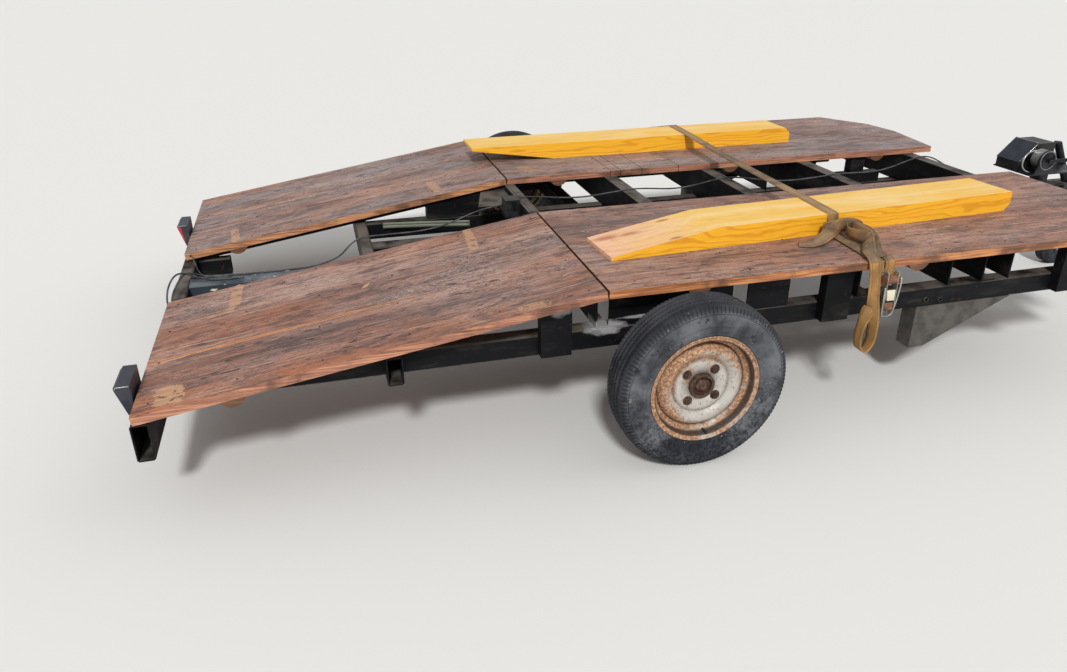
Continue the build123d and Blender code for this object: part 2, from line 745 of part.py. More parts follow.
def boards():
    """Two boards side by side on each runway, level and sloping."""
    level_rear = joint_x + joint_gap / 2
    for side, s in sides:
        half = board_seam / 2
        level_rows = ((runway_inner_y, level_seam_y - half), (level_seam_y + half, runway_outer_y))
        level = [block(level_rear, deck_front_x, s * y0, s * y1, deck_under, deck_height)
                 for y0, y1 in level_rows]
        if side == "left":
            seam_x = deck_front_x + front_skew
            inner = make_face(Polyline((level_rear, level_rows[0][0]), (deck_front_x, level_rows[0][0]),
                                       (seam_x, level_rows[0][1]), (level_rear, level_rows[0][1]),
                                       close=True))
            corner_y = runway_outer_y - torn_corner_across
            outer = make_face(Polyline((level_rear, level_rows[1][0]), (seam_x, level_rows[1][0]),
                                       (seam_x - torn_corner_step, corner_y),
                                       (seam_x - torn_corner_step - torn_corner_along, runway_outer_y),
                                       (level_rear, runway_outer_y), close=True))
            patched = extrude(Pos(0, 0, deck_under) * inner, board_thickness)
            for x in patch_cuts_x:
                patched = patched - block(x, x + patch_cut, 0, level_seam_y, deck_under - 1, deck_height + 1)
            level = [patched, extrude(Pos(0, 0, deck_under) * outer, board_thickness)]
        nodes[f"deck_boards_{side}"] = level
        ramp_rows = ((runway_inner_y, ramp_seam_y - half), (ramp_seam_y + half, runway_outer_y))
        ramp = [block(-ramp_length, -joint_gap / 2, s * y0, s * y1, -board_thickness, 0)
                for y0, y1 in ramp_rows]
        nodes[f"ramp_boards_{side}"] = [on_ramp(board) for board in ramp]


def half_log(y0, y1):
    """A batten's solid, flat on top at z = 0 and round below, across the runway."""
    half = batten_width / 2
    top = Line((-half, 0), (half, 0))
    bark = ThreePointArc((half, 0), (0, -batten_depth), (-half, 0))
    return along_y(make_face([top, bark]), 0, min(y0, y1), max(y0, y1), 0)


def battens():
    made = []
    side_rail_inner_y = side_rail_outer_y - side_rail_width
    inner, outer = runway_inner_y + batten_inset, runway_outer_y - batten_inset
    for side, member, gap in level_battens:
        s = dict(sides)[side]
        x = member_fronts[member] + gap + batten_width / 2
        made.append(Pos(x, 0, deck_under) * half_log(s * inner, s * outer))
    spans = ((inner, inner_rail_outer_y - inner_rail_width - batten_clear),
             (inner_rail_outer_y + batten_clear, side_rail_inner_y - batten_clear),
             (side_rail_outer_y + batten_clear, outer))
    for side, down in ramp_battens:
        s = dict(sides)[side]
        under = Pos(-down - batten_width / 2, 0, -board_thickness)
        made += [on_ramp(under * half_log(s * y0, s * y1)) for y0, y1 in spans]
    nodes["battens"] = made


def loading_timbers():
    length, top, nose = timber_length, timber_thickness, nose_thickness
    for side, x, inset, turn, taper_up in timbers:
        y = dict(sides)[side] * (runway_outer_y - inset)
        points = [(0, 0), (0, nose), (nose_length, top), (length, top), (length, heel_bevel),
                  (length - heel_bevel, 0)]
        if not taper_up:
            points = [(a, top - b) for a, b in points]
        plank = side_view(points, -timber_width / 2, timber_width / 2)
        nodes[f"loading_timber_{side}"] = Pos(x, y, deck_height) * Rot(0, 0, turn) * plank


def timber_edges(row, x):
    """Where a stowed timber's two edges lie across the trailer, at x."""
    side, rear, inset, turn, taper_up = row
    middle = dict(sides)[side] * (runway_outer_y - inset) + (x - rear) * tan(radians(turn))
    half = timber_width / 2 / cos(radians(turn))
    return middle - half, middle + half


def strap_corner(row):
    """How far out the strap turns down beside a stowed timber, along its own run."""
    slew = tan(radians(strap_turn))
    along = strap_x + dict(sides)[row[0]] * (runway_outer_y - row[2]) * slew
    ends = (along - strap_width, along + strap_width)
    reach = max(abs(edge) for x in ends for edge in timber_edges(row, x))
    return reach + strap_clear + strap_thickness / 2 + strap_width / 2 * slew


def strap_edge():
    """Where the strap hangs down outside the boards, along its own run."""
    turn = radians(strap_turn)
    return (runway_outer_y + strap_clear + strap_width / 2 * sin(turn)) / cos(turn) + strap_thickness / 2


def strap():
    near_row, far_row = timbers
    half = strap_thickness / 2
    top = deck_height + timber_thickness + half
    near, far, edge = strap_corner(near_row), strap_corner(far_row), strap_edge()
    low = deck_under - strap_hook_drop
    tail = deck_height - strap_tail_drop
    on_deck, out = deck_height + half, -edge - strap_tail_gap
    line = [(edge, low), (edge, on_deck), (far, top), (-near, top), (-strap_deck_y, on_deck),
            (-edge, on_deck), (-edge, tail), ((out - edge) / 2, tail - strap_tail_gap / 2), (out, tail),
            (out, tail + strap_tail_return)]
    long = extrude(Plane.YZ * thick_line(line, strap_thickness), strap_width / 2, both=True)
    hang_y = -(runway_outer_y + strap_clear + half)
    spool_z = deck_height - ratchet_drop + ratchet_depth / 2
    line = [(-strap_deck_y, on_deck), (hang_y, on_deck), (hang_y, spool_z - ratchet_spool_radius)]
    short = extrude(Plane.YZ * thick_line(line, strap_thickness), strap_width / 2, both=True)
    nodes["strap"] = [Pos(strap_x, 0, 0) * Rot(0, 0, -strap_turn) * long, Pos(ratchet_x, 0, 0) * short]


def ratchet():
    """The strap's tensioner: two side plates with a spool and a handle bar between them."""
    y = -(runway_outer_y + 2 * strap_clear + strap_thickness + ratchet_spool_radius)
    top = deck_height - ratchet_drop + ratchet_depth
    bottom = top - ratchet_length
    x0, x1 = ratchet_x - ratchet_width / 2, ratchet_x + ratchet_width / 2
    made = round_bar_x(ratchet_spool_radius, x0, x1, y, top - ratchet_depth / 2)
    made = made + round_bar_x(ratchet_bar_radius, x0, x1, y, bottom + ratchet_depth / 2)
    for end in (x0, x1 - ratchet_plate):
        made = made + block(end, end + ratchet_plate, y - ratchet_depth / 2, y + ratchet_spool_radius,
                            bottom, top)
    nodes["ratchet"] = made


def round_bar_x(radius, x0, x1, y, z):
    """A round bar that runs along the trailer."""
    return Pos((x0 + x1) / 2, y, z) * Rot(0, 90, 0) * Cylinder(radius, abs(x1 - x0))


def lead(points):
    """A thin lead with tangent arcs between straight runs, each arc as large as its runs allow."""
    radii = []
    for a, b, c in zip(points, points[1:], points[2:]):
        one, two = Vector(*b) - Vector(*a), Vector(*c) - Vector(*b)
        turn = radians(one.get_angle(two))
        radii.append(0.45 * min(one.length, two.length) / tan(turn / 2))
    path = FilletPolyline(*points, radius=radii)
    start = Plane(origin=path @ 0, z_dir=path % 0)
    outline = RegularPolygon(lead_radius, lead_sides)
    tube = sweep(start * outline, path=path)
    ratio = round(tube.volume / outline.area / path.length, 4)
    print("lead length", round(path.length), "volume ratio", ratio, "smallest radius", round(min(radii)))
    return tube


def wiring():
    """Two leads: rear beam to junction box, and junction box to plug. Their points are as chosen."""
    box_rear = joint_member_rear_x - junction_length
    box_top = deck_height - junction_below_deck
    y0 = junction_y - junction_width / 2
    nodes["junction_box"] = block(box_rear, joint_member_rear_x, y0, y0 + junction_width,
                                  box_top - junction_height, box_top)
    on_spine = low_tube_bottom + lead_radius + lead_rise
    on_tube = ramp_under(low_tube_rear_x, bearer_depth) + lead_radius + lead_over_tube
    on_bar = rail_top + lead_radius + lead_rise
    on_member = deck_under + lead_radius + lead_over_member
    y, gland_y, gland_z = lead_y, junction_y + gland_offset, box_top - gland_depth
    rear = lead([(beam_front_x, y, on_spine), (beam_front_x + 240, y - 12, on_spine),
                 (low_tube_rear_x - 110, y + 4, on_spine), (low_tube_rear_x - 14, y + 24, on_tube),
                 (low_tube_front_x + 14, y + 34, on_tube + 1),
                 ((low_tube_front_x + box_rear) / 2, y + 16, on_tube + 12),
                 (box_rear - 80, gland_y, gland_z), (box_rear, gland_y, gland_z)])
    points = [(joint_member_rear_x, gland_y, on_member), (member_fronts["joint"] + 20, gland_y, on_member)]
    across = (0, 58, -28, 148)
    for k, x in enumerate(member_rear_x):
        before = points[-1]
        points.append(((before[0] + x) / 2, (before[1] + across[k]) / 2 + 10, on_member - 26 - 3 * k))
        points.append((x - 18, across[k] - 6, on_member))
        points.append((x + member_flange + 18, across[k] + 8, on_member))
    front = points[-1][0]
    plug_y, plug_z = drawbar_width / 2 - plug_radius, rail_top + plug_radius + lead_rise
    points += [(front + 90, 120, on_member - 52), (front + 190, 66, on_bar + 14), (front + 330, 36, on_bar),
               (stand_x, 34, on_bar), (plug_x - 130, 33, on_bar), (plug_x - 55, plug_y, plug_z),
               (plug_x, plug_y, plug_z)]
    nodes["wiring"] = [rear, lead(points)]
    nodes["lead_plug"] = round_bar_x(plug_radius, plug_x, plug_x + plug_length, plug_y, plug_z)


rails()
cross_members()
runway_joists()
rear_end()
side_posts()
inner_posts()
stays()
drawbar()
axle()
wheels()
jockey_wheel()
coupling()
winch_stand()
front_box()
lamps()
boards()
battens()
loading_timbers()
strap()
ratchet()
wiring()

os.makedirs("parts", exist_ok=True)
shapes = {}
for name, made in nodes.items():
    pieces = made if isinstance(made, list) else [made]
    shapes[name] = [solid for piece in pieces for solid in piece.solids()]
boxes = [solid.bounding_box() for solids in shapes.values() for solid in solids]
middle_x = (min(box.min.X for box in boxes) + max(box.max.X for box in boxes)) / 2
for name, solids in shapes.items():
    placed = [Pos(-middle_x, 0, 0) * solid for solid in solids]
    export_step(Compound(placed), f"parts/{name}.step")
print("nodes", len(nodes), "length", round(max(box.max.X for box in boxes) - min(box.min.X for box in boxes)),
      "middle", round(middle_x, 3))
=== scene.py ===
import json
from math import atan2, cos, pi, radians, sin

import bmesh
import bpy
from mathutils import Matrix, Vector


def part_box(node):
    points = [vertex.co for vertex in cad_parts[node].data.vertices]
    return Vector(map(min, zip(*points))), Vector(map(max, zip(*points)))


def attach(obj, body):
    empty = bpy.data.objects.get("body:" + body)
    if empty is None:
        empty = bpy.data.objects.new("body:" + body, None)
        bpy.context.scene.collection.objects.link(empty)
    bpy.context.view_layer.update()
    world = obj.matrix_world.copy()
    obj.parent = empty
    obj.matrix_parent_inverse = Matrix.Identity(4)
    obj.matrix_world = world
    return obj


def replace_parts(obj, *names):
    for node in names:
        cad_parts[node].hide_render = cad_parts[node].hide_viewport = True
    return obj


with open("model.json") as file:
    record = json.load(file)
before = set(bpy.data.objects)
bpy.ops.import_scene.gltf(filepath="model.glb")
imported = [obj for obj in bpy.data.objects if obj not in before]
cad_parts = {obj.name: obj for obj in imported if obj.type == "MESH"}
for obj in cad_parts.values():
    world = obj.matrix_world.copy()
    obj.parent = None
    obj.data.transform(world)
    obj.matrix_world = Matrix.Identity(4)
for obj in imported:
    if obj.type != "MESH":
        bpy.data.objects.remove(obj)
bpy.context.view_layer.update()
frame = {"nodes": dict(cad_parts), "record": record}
nodes = frame["nodes"]
print("frame loaded:", len(nodes), "nodes")

tyreLow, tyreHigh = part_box("tyre_right")
axleX = (tyreLow.x + tyreHigh.x) / 2  # the wheels' common axle
axleZ = (tyreLow.z + tyreHigh.z) / 2
deckLow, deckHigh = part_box("deck_boards_right")
rampLow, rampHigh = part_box("ramp_boards_right")
deckTop = deckHigh.z
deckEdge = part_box("deck_boards_left")[1].y  # both runways reach this far out
jointX = deckLow.x - axleX  # the level part ends and the slope begins here
rampSlope = atan2(rampHigh.z - rampLow.z - (deckTop - deckLow.z), rampHigh.x - rampLow.x)
sides = {"right": -1, "left": 1}


def at(x, y, z):
    # a place measured from the axle's line on the ground, in metres
    return Vector((axleX + x, y, z))


def inScene(obj):
    bpy.context.scene.collection.objects.link(obj)
    return obj


def linear(code):
    # sRGB hex to the linear colour that the shaders take
    parts = [int(code[i:i + 2], 16) / 255 for i in (1, 3, 5)]
    return tuple(c / 12.92 if c <= 0.04045 else ((c + 0.055) / 1.055) ** 2.4 for c in parts) + (1,)


def newMaterial(name):
    made = bpy.data.materials.new(name)
    made.use_nodes = True
    made.node_tree.nodes.clear()
    return made, made.node_tree


def add(tree, kind, inputs=(), stops=(), **settings):
    # adds one node: a shader node by its short name, inputs in order or by name, attributes by name;
    # an input is a value, a hex colour, a node or one of its outputs, or a list of those
    made = tree.nodes.new(kind if "Node" in kind else "ShaderNode" + kind)
    for name, value in settings.items():
        setattr(made, name, value)
    for i, (where, colour) in enumerate(stops):
        ramp = made.color_ramp.elements
        stop = ramp[i] if i < 2 else ramp.new(1)
        stop.position = where
        stop.color = linear(colour) if isinstance(colour, str) else (colour, colour, colour, 1)
    for socket, value in inputs.items() if isinstance(inputs, dict) else enumerate(inputs):
        for one in value if isinstance(value, list) else [value]:
            if isinstance(one, bpy.types.Node):
                one = one.outputs[0]
            if isinstance(one, bpy.types.NodeSocket):
                tree.links.new(one, made.inputs[socket])
            else:
                made.inputs[socket].default_value = linear(one) if isinstance(one, str) and one[0] == "#" else one
    return made


def product(tree, first, *others):
    # several values multiplied together
    for other in others:
        first = add(tree, "Math", [first, other], operation="MULTIPLY")
    return first


def weighted(tree, start, *terms):
    # a start value plus each term times its weight
    for value, weight in terms:
        start = add(tree, "Math", [value, weight, start], operation="MULTIPLY_ADD")
    return start


def distance(tree, *offsets):
    return add(tree, "Math", [weighted(tree, 0, *((d, d) for d in offsets))], operation="SQRT")


def place(tree, stretch=(1, 1, 1), move=(0, 0, 0)):
    # object coordinates, stretched, so that a pattern can run along the piece
    source = add(tree, "TexCoord").outputs["Object"]
    return add(tree, "Mapping", {"Vector": source, "Scale": stretch, "Location": move})


def coordinates(tree, move=(0, 0, 0)):
    return add(tree, "SeparateXYZ", [place(tree, move=move)]).outputs


def facing(tree):
    # how far a face looks along each axis: Z is 1 on top, 0 on a side
    return add(tree, "SeparateXYZ", [add(tree, "NewGeometry").outputs["Normal"]]).outputs


def cloud(tree, scale=1.0, detail=4, rough=0.6, stretch=(1, 1, 1), move=(0, 0, 0)):
    # noise laid in the piece's own space
    where = place(tree, stretch, move)
    return add(tree, "TexNoise", {"Vector": where, "Scale": scale, "Detail": detail, "Roughness": rough})


def patches(tree, scale, low, high, detail=4, rough=0.6, stretch=(1, 1, 1), move=(0, 0, 0)):
    # a soft-edged mask of noise: 0 under low, 1 over high
    return add(tree, "MapRange", [cloud(tree, scale, detail, rough, stretch, move), low, high],
               interpolation_type="SMOOTHSTEP")


def knotMask(tree, stretch, move, few, rim, core, way):
    # round knots scattered in the grain: one in each cell that passes the few limit
    cell = add(tree, "TexVoronoi", {"Vector": place(tree, stretch, move), "Scale": 1})
    tone = add(tree, "SeparateXYZ", [cell.outputs["Color"]])
    kept = add(tree, "Math", [tone, few], operation="GREATER_THAN")
    return product(tree, add(tree, "MapRange", [cell, rim, core], interpolation_type=way), kept)


def coat(tree, under, over, mask, share=1.0, way="MIX"):
    # lays one finish over another where the mask is 1, by its share
    return add(tree, "MixRGB", [mask if share == 1.0 else product(tree, mask, share), under, over], blend_type=way)


def coats(tree, shade, *layers):
    # lays several finishes over one another, each a colour, its mask and the rest
    for over, mask, *rest in layers:
        shade = coat(tree, shade, over, mask, *rest)
    return shade


def finish(made, tree, colour, rough, metal=0.0, bump=None, height=0.4, depth=0.001, gloss=0.5):
    # the surface shader: every finish ends here
    inputs = {"Base Color": colour, "Roughness": rough, "Metallic": metal, "Specular IOR Level": gloss}
    if bump is not None:
        inputs["Normal"] = add(tree, "Bump", {"Height": bump, "Strength": height, "Distance": depth})
    add(tree, "OutputMaterial", {"Surface": add(tree, "BsdfPrincipled", inputs)})
    return made


# each mark: its name, colour and share, then its noise's limits, detail, roughness, stretch along and across, shift
panel = dict(
    tones=((0.36, "deep"), (0.435, "dark"), (0.49, "mid"), (0.545, "light"), (0.63, "pale")),
    deep="#453432", dark="#69514B", mid="#967062", light="#B58B79", pale="#D3AF99", grey="#8B8182",
    warm="#B06F4A", stain="#352A2A", scar="#1E1818", raw="#DBAF88", rawDark="#B98660", crack="#191313",
    blotch="#4C3A38", frost="#CDBBB3", sunned="#C07A52", glow="#CFA186", fibre="#DB9A62", glue="#5A3320",
    damp="#4A3026", endGrain="#2C201B", rawEdge="#7B4A33", lamella=0.155, streak=0.013, grain=0.0034,
    ply=0.0095, edgeBand=0.075, rearFrom=-0.45, rearTo=-1.0, seamLine=(0.0098, 0.0052),
    marks=(("blotch", "blotch", 0.62), ("speck", "stain", 0.6, 0.55, 0.64, 3, 0.7, 55, 190, 9),
        ("glint", "pale", 0.5, 0.6, 0.7, 3, 0.7, 40, 240, 13), ("frost", "frost", 0.55),
        ("drag", "deep", 0.55, 0.57, 0.7, 3, 0.6, 1.6, 42, 4),
        ("scar", "scar", 0.8, 0.63, 0.7, 2, 0.6, 16, 60, 1), ("knot", "scar", 0.75),
        ("scrape", "pale", 0.55, 0.62, 0.69, 2, 0.6, 5, 150, 2),
        ("flake", "raw", 0.8, 0.71, 0.75, 3, 0.6, 10, 70, 5)))


def weatheredPanel(name, grey=0.0, warm=0.0, seed=0.0, bare=(), seam=None, edge=("#A5705C", "#C98E6A")):
    # formwork panel left outdoors: a thin brown skin gone patchy and mauve, grain along the trailer, raw orange edges
    p = panel
    made, tree = newMaterial(name)
    local = coordinates(tree)
    streak = cloud(tree, 1, 8, 0.7, (3.2, 0.75 / p["streak"], 6), (seed, seed, 0))
    broad = cloud(tree, 1, 4, 0.6, (1.3, 7.5, 1), (seed, seed * 2, 0))
    hair = cloud(tree, 1, 3, 0.6, (11, 1 / p["grain"], 20), (seed, 0, 0))
    thread = cloud(tree, 1, 5, 0.75, (14, 150, 20), (seed, 7, 0))
    strip = add(tree, "SeparateXYZ", [place(tree, (1, 1 / p["lamella"], 1), (0, seed, 0))]).outputs["Y"]
    tone = add(tree, "TexWhiteNoise", {"W": add(tree, "Math", [strip], operation="FLOOR")}, noise_dimensions="1D")
    mixed = weighted(tree, -0.025, (tone, 0.05), (thread, 0.28), (streak, 0.36), (broad, 0.34))
    shade = add(tree, "ValToRGB", [mixed], [(stop, p[tone]) for stop, tone in p["tones"]])
    wide = dict(stretch=(1, 2.4, 1), move=(seed, seed * 2, 3))
    shade = coats(tree, shade, (p["grey"], patches(tree, 2.4, 0.36, 0.64, **wide), 0.15 + 0.65 * grey),
                  (p["warm"], patches(tree, 1.6, 0.4, 0.66, **wide), 0.12 + 0.6 * warm))
    outward = weighted(tree, add(tree, "Math", [local["Y"]], operation="ABSOLUTE"), (streak, 0.16))
    toEdge = add(tree, "MapRange", [outward, deckEdge - p["edgeBand"], deckEdge + p["edgeBand"]])
    rearward = weighted(tree, -axleX, (local["X"], 1), (broad, 0.5))
    rearward = add(tree, "MapRange", [rearward, p["rearFrom"], p["rearTo"], 0.35, 1.0])
    shade = coats(tree, shade, (p["sunned"], product(tree, toEdge, rearward), 0.4 + 0.6 * warm),
                  (p["glow"], rearward, 0.4 * warm, "SOFT_LIGHT"))
    masks = {
        "blotch": patches(tree, 2.0, 0.49, 0.61, 6, 0.7, (3.4, 9, 1), (seed * 3, 0, 0)),
        "frost": product(tree, patches(tree, 1.5, 0.44, 0.66, 4, 0.6, (1.2, 2.6, 1), (seed, 21, 0)),
                         patches(tree, 1, 0.46, 0.6, 4, 0.75, (70, 200, 1))),
        "knot": knotMask(tree, (4.2, 10.5, 1), (seed, 0, 0), 0.5, 0.1, 0.055, "LINEAR"),
    }
    for mark, colour, share, *pattern in p["marks"]:
        if pattern:
            low, high, detail, rough, along, across, shift = pattern
            masks[mark] = patches(tree, 1, low, high, detail, rough, (along, across, 1), (seed, shift, 0))
        shade = coat(tree, shade, p[colour], masks[mark], share)
    fray = cloud(tree, 1, 4, 0.6, (22, 48, 1))
    rawTone = coats(tree, p["rawDark"], (p["raw"], streak),
                    (p["stain"], patches(tree, 1, 0.6, 0.64, 2, 0.6, (46, 46, 1), (seed, 3, 0)), 0.7))
    for x, y, halfX, halfY, skew, strength in bare:  # skin torn off, nearly square, leaning, with a frayed rim
        offY = weighted(tree, -y, (local["Y"], 1))
        offX = weighted(tree, -axleX - x, (local["X"], 1), (offY, skew))
        dx, dy = product(tree, offX, 1 / halfX), product(tree, offY, 1 / halfY)
        squarish = weighted(tree, product(tree, dx, dx, dx, dx), (product(tree, dy, dy, dy, dy), 1))
        reach = add(tree, "Math", [squarish, 0.25], operation="POWER")
        reach = weighted(tree, reach, (weighted(tree, -0.5, (fray, 1)), 1.1))
        shade = coat(tree, shade, rawTone, add(tree, "MapRange", [reach, 1.04, 0.94, 0, strength]))
    joint = add(tree, "Math", [add(tree, "Math", [strip], operation="FRACT"), 0.0, 0.009], operation="COMPARE")
    opened = cloud(tree, stretch=(1.5, 3, 1), move=(seed, 0, 0))
    joint = product(tree, joint, add(tree, "MapRange", [opened, 0.42, 0.55]))
    shade = coat(tree, shade, p["crack"], joint, 0.75)
    if seam:  # where two panels meet: raw orange fibres at the rear, hardly any further on
        offSeam = add(tree, "Math", [weighted(tree, -seam[0], (local["Y"], 1))], operation="ABSOLUTE")
        ahead = weighted(tree, -axleX - seam[1], (local["X"], 1), (streak, 0.5))
        rear = add(tree, "MapRange", [ahead, 0.35, 0.15])
        line = product(tree, add(tree, "MapRange", [offSeam, *p["seamLine"]]), weighted(tree, 0.1, (rear, 0.85)))
        shade = coat(tree, shade, p["fibre"], line)
    shade = coat(tree, shade, add(tree, "ValToRGB", [hair], ((0.32, 0.38), (0.58, 1.0))), 0.6, way="MULTIPLY")
    ply = add(tree, "Math", [product(tree, local["Z"], 2 * pi / p["ply"])], operation="SINE")
    fibre = cloud(tree, 1, 5, 0.6, (7, 7, 190))
    side = add(tree, "ValToRGB", [fibre], ((0.34, p["rawEdge"]), (0.48, edge[0]), (0.62, edge[1])))
    side = coat(tree, side, p["glue"], add(tree, "Math", [ply, 0.86], operation="GREATER_THAN"), 0.35)
    side = coat(tree, side, p["damp"], patches(tree, 2.0, 0.5, 0.68, stretch=(3, 3, 3)), 0.7)
    ends = add(tree, "MapRange", [add(tree, "Math", [facing(tree)["X"]], operation="ABSOLUTE"), 0.6, 0.8])
    side = coat(tree, side, p["endGrain"], ends, 0.8)  # wet and black
    shade = coat(tree, side, shade, add(tree, "MapRange", [facing(tree)["Z"], 0.5, 0.6]))
    rough = add(tree, "MapRange", [streak, 0.3, 0.7, 0.4, 0.7])
    relief = weighted(tree, 0, (hair, 1), (streak, 1), (thread, 1), (joint, -1), (masks["scar"], -1))
    return finish(made, tree, shade, rough, bump=relief, height=0.7, depth=0.0016)


timber = dict(
    cream="#F0C25C", honey="#FAB829", bloom="#F4CF86", ring="#D98A12", paleRing="#E3AC4C", knot="#8A4B1C",
    raw="#EDBB96", rawRing="#D6966C", rawKnot="#A9603C", ringGap=0.042, ringBend=44.0, cutFrom=0.45, cutTo=0.15,
    endX=-0.14)


def yellowTimber(name, wedge=False, knots=()):
    # spruce under yellow oil: pale on top, a deeper orange on the flanks that is the oil's colour with painted
    # sunlight on it, curved growth rings and knots
    t = timber
    made, tree = newMaterial(name)
    local = coordinates(tree)
    bend = cloud(tree, 1, 3, 0.5, (1.9, 11, 11))
    across = weighted(tree, local["Y"], (local["Z"], 1.6))
    rings = weighted(tree, product(tree, across, 2 * pi / t["ringGap"]), (bend, t["ringBend"]))
    rings = add(tree, "Math", [rings], operation="SINE")
    hair = cloud(tree, 1, 3, 0.6, (6, 260, 260))
    soft = add(tree, "MapRange", [rings, 0.3, 1.0], interpolation_type="SMOOTHSTEP")
    top = add(tree, "MapRange", [facing(tree)["Z"], 0.5, 0.8])
    # the flanks' deeper orange: the oil's own colour, partly painted sunlight
    flank = coat(tree, t["honey"], t["ring"], soft, 0.6)
    upper = coats(tree, t["cream"], (t["paleRing"], soft, 0.35),
                  (t["bloom"], patches(tree, 1.6, 0.45, 0.68, stretch=(1.2, 6, 6))),
                  (t["honey"], patches(tree, 1.3, 0.55, 0.68, stretch=(2.2, 8, 6), move=(4, 0, 0)), 0.7))
    shade = coat(tree, flank, upper, top)
    knot = knotMask(tree, (3.0, 9, 9), (0, 0, 0), 0.62, 0.13, 0.07, "SMOOTHSTEP")
    shade = coat(tree, shade, t["knot"], knot, 0.7)
    for x, y, size in knots:
        dx = product(tree, weighted(tree, -axleX - x, (local["X"], 1)), 0.45)
        spot = distance(tree, dx, weighted(tree, -y, (local["Y"], 1)))
        spot = add(tree, "MapRange", [spot, size, size * 0.2], interpolation_type="SMOOTHSTEP")
        knot = add(tree, "Math", [knot, product(tree, spot, 0.8)], operation="MAXIMUM")
    if wedge:  # the freshly cut slope at the rear end: raw pinkish wood
        ahead = weighted(tree, -axleX, (local["X"], 1))
        run = add(tree, "MapRange", [weighted(tree, ahead, (bend, 0.5)), t["cutFrom"], t["cutTo"]])
        end = add(tree, "Math", [weighted(tree, ahead, (bend, 0.03)), t["endX"]], operation="LESS_THAN")
        cut = add(tree, "Math", [product(tree, run, top), end], operation="MAXIMUM")
        rawWood = coat(tree, t["raw"], t["rawRing"], soft, 0.55)
        shade = coat(tree, shade, coat(tree, rawWood, t["rawKnot"], knot, 0.9), cut)
    shade = coat(tree, shade, add(tree, "ValToRGB", [hair], ((0.3, 0.5), (0.6, 1.0))), 0.28, way="MULTIPLY")
    return finish(made, tree, shade, 0.5, bump=weighted(tree, hair, (rings, 0.3)), height=0.35, depth=0.0006)


steel = dict(rustDeep="#5E3522", rust="#77452A", chalk="#A9A8A8", chalkDepth=0.06, film=0.16)
chalkSplashes = (
    (-0.395, -1.045, 0.5, 0.04, 0.03), (-0.235, -0.985, 0.4, 0.07, 0.03),
    (-0.12, -0.985, 0.425, 0.08, 0.007))


def paintedSteel(name, paint, tint, dust="#6A625A", dusty=0.5, rust=0.3, rough=0.5, chip=None, chalk=(), gloss=0.35):
    # brushed-on oil paint over welded steel: dusty on top, rust at chips, uneven gloss
    made, tree = newMaterial(name)
    grain = cloud(tree, 7, 6, 0.65)
    level = add(tree, "MapRange", [facing(tree)["Z"], 0.4, 0.9])
    spots = patches(tree, 38, 0.62, 0.7, 5, 0.7)
    shade = coats(tree, paint, (tint, grain, 0.6), (dust, product(tree, level, patches(tree, 9, 0.3, 0.6)), dusty),
                  (dust, patches(tree, 6, 0.5, 0.74, 6, stretch=(1, 1, 3)), steel["film"]),
                  (steel["rustDeep"], spots, rust * 1.6),
                  (steel["rust"], patches(tree, 11, 0.62, 0.69, 8, 0.75), rust))
    for x, y, z, halfX, halfZ in chalk:  # pale splashes dried on the near faces
        local = coordinates(tree, (-axleX - x, -y, -z))
        dx, dz = product(tree, local["X"], 1 / halfX), product(tree, local["Z"], 1 / halfZ)
        reach = weighted(tree, 0, (dz, dz), (dx, dx), (cloud(tree, 1, 5, 0.6, (20, 20, 60)), 2.4))
        off = add(tree, "Math", [local["Y"]], operation="ABSOLUTE")
        here = add(tree, "Math", [off, steel["chalkDepth"]], operation="LESS_THAN")
        splash = add(tree, "MapRange", [reach, 2.3, 1.5, 0, 0.75])
        shade = coat(tree, shade, steel["chalk"], product(tree, splash, here))
    if chip:
        shade = coat(tree, shade, chip, patches(tree, 2.4, 0.63, 0.66, 4, stretch=(9, 22, 22)))
    shine = add(tree, "MapRange", [grain, 0.3, 0.7, rough - 0.1, rough + 0.2])
    relief = weighted(tree, grain, (spots, 1))
    return finish(made, tree, shade, shine, bump=relief, height=0.25, depth=0.0008, gloss=gloss)


def zincSteel(name, colour="#8E8F8C", shadow="#6C6E6D", stain="#5C4A3A", stained=0.35, rough=0.45, metal=0.75):
    # zinc-coated steel gone dull, with white bloom and brown stains
    made, tree = newMaterial(name)
    bloom = patches(tree, 16, 0.35, 0.68, 5)
    shade = coats(tree, colour, (shadow, bloom), (stain, patches(tree, 30, 0.58, 0.7, 5), stained))
    shine = add(tree, "MapRange", [bloom, 0, 1, rough - 0.1, rough + 0.15])
    return finish(made, tree, shade, shine, metal, bump=bloom, height=0.15, depth=0.0005)


def rustyIron(name, deep="#241A16", colour="#493226", light="#7A5C48"):
    # bare cast iron under a skin of rust and brake dust
    made, tree = newMaterial(name)
    grain = cloud(tree, 55, 8, 0.7)
    shade = add(tree, "ValToRGB", [grain], ((0.32, deep), (0.5, colour), (0.72, light)))
    return finish(made, tree, shade, 0.85, bump=grain, height=0.6)


def roundAxle(tree):
    # how far ahead of the axle, above it and away from it a place lies
    ahead, _, above = coordinates(tree, (-axleX, 0, -axleZ))
    return ahead, above, distance(tree, ahead, above)


rubberLook = dict(
    running="#1B1C20", line="#1E1F23", low="#1D2027", slotShade="#101114", mottle="#12141C", splash="#9A9894",
    wet="#17181B", runningBand=(0.26, 0.272), lineAt=(0.2535, 0.0016), slotShadeAt=(0.2655, 0.0085),
    wallMiddle=0.208, slots=128)


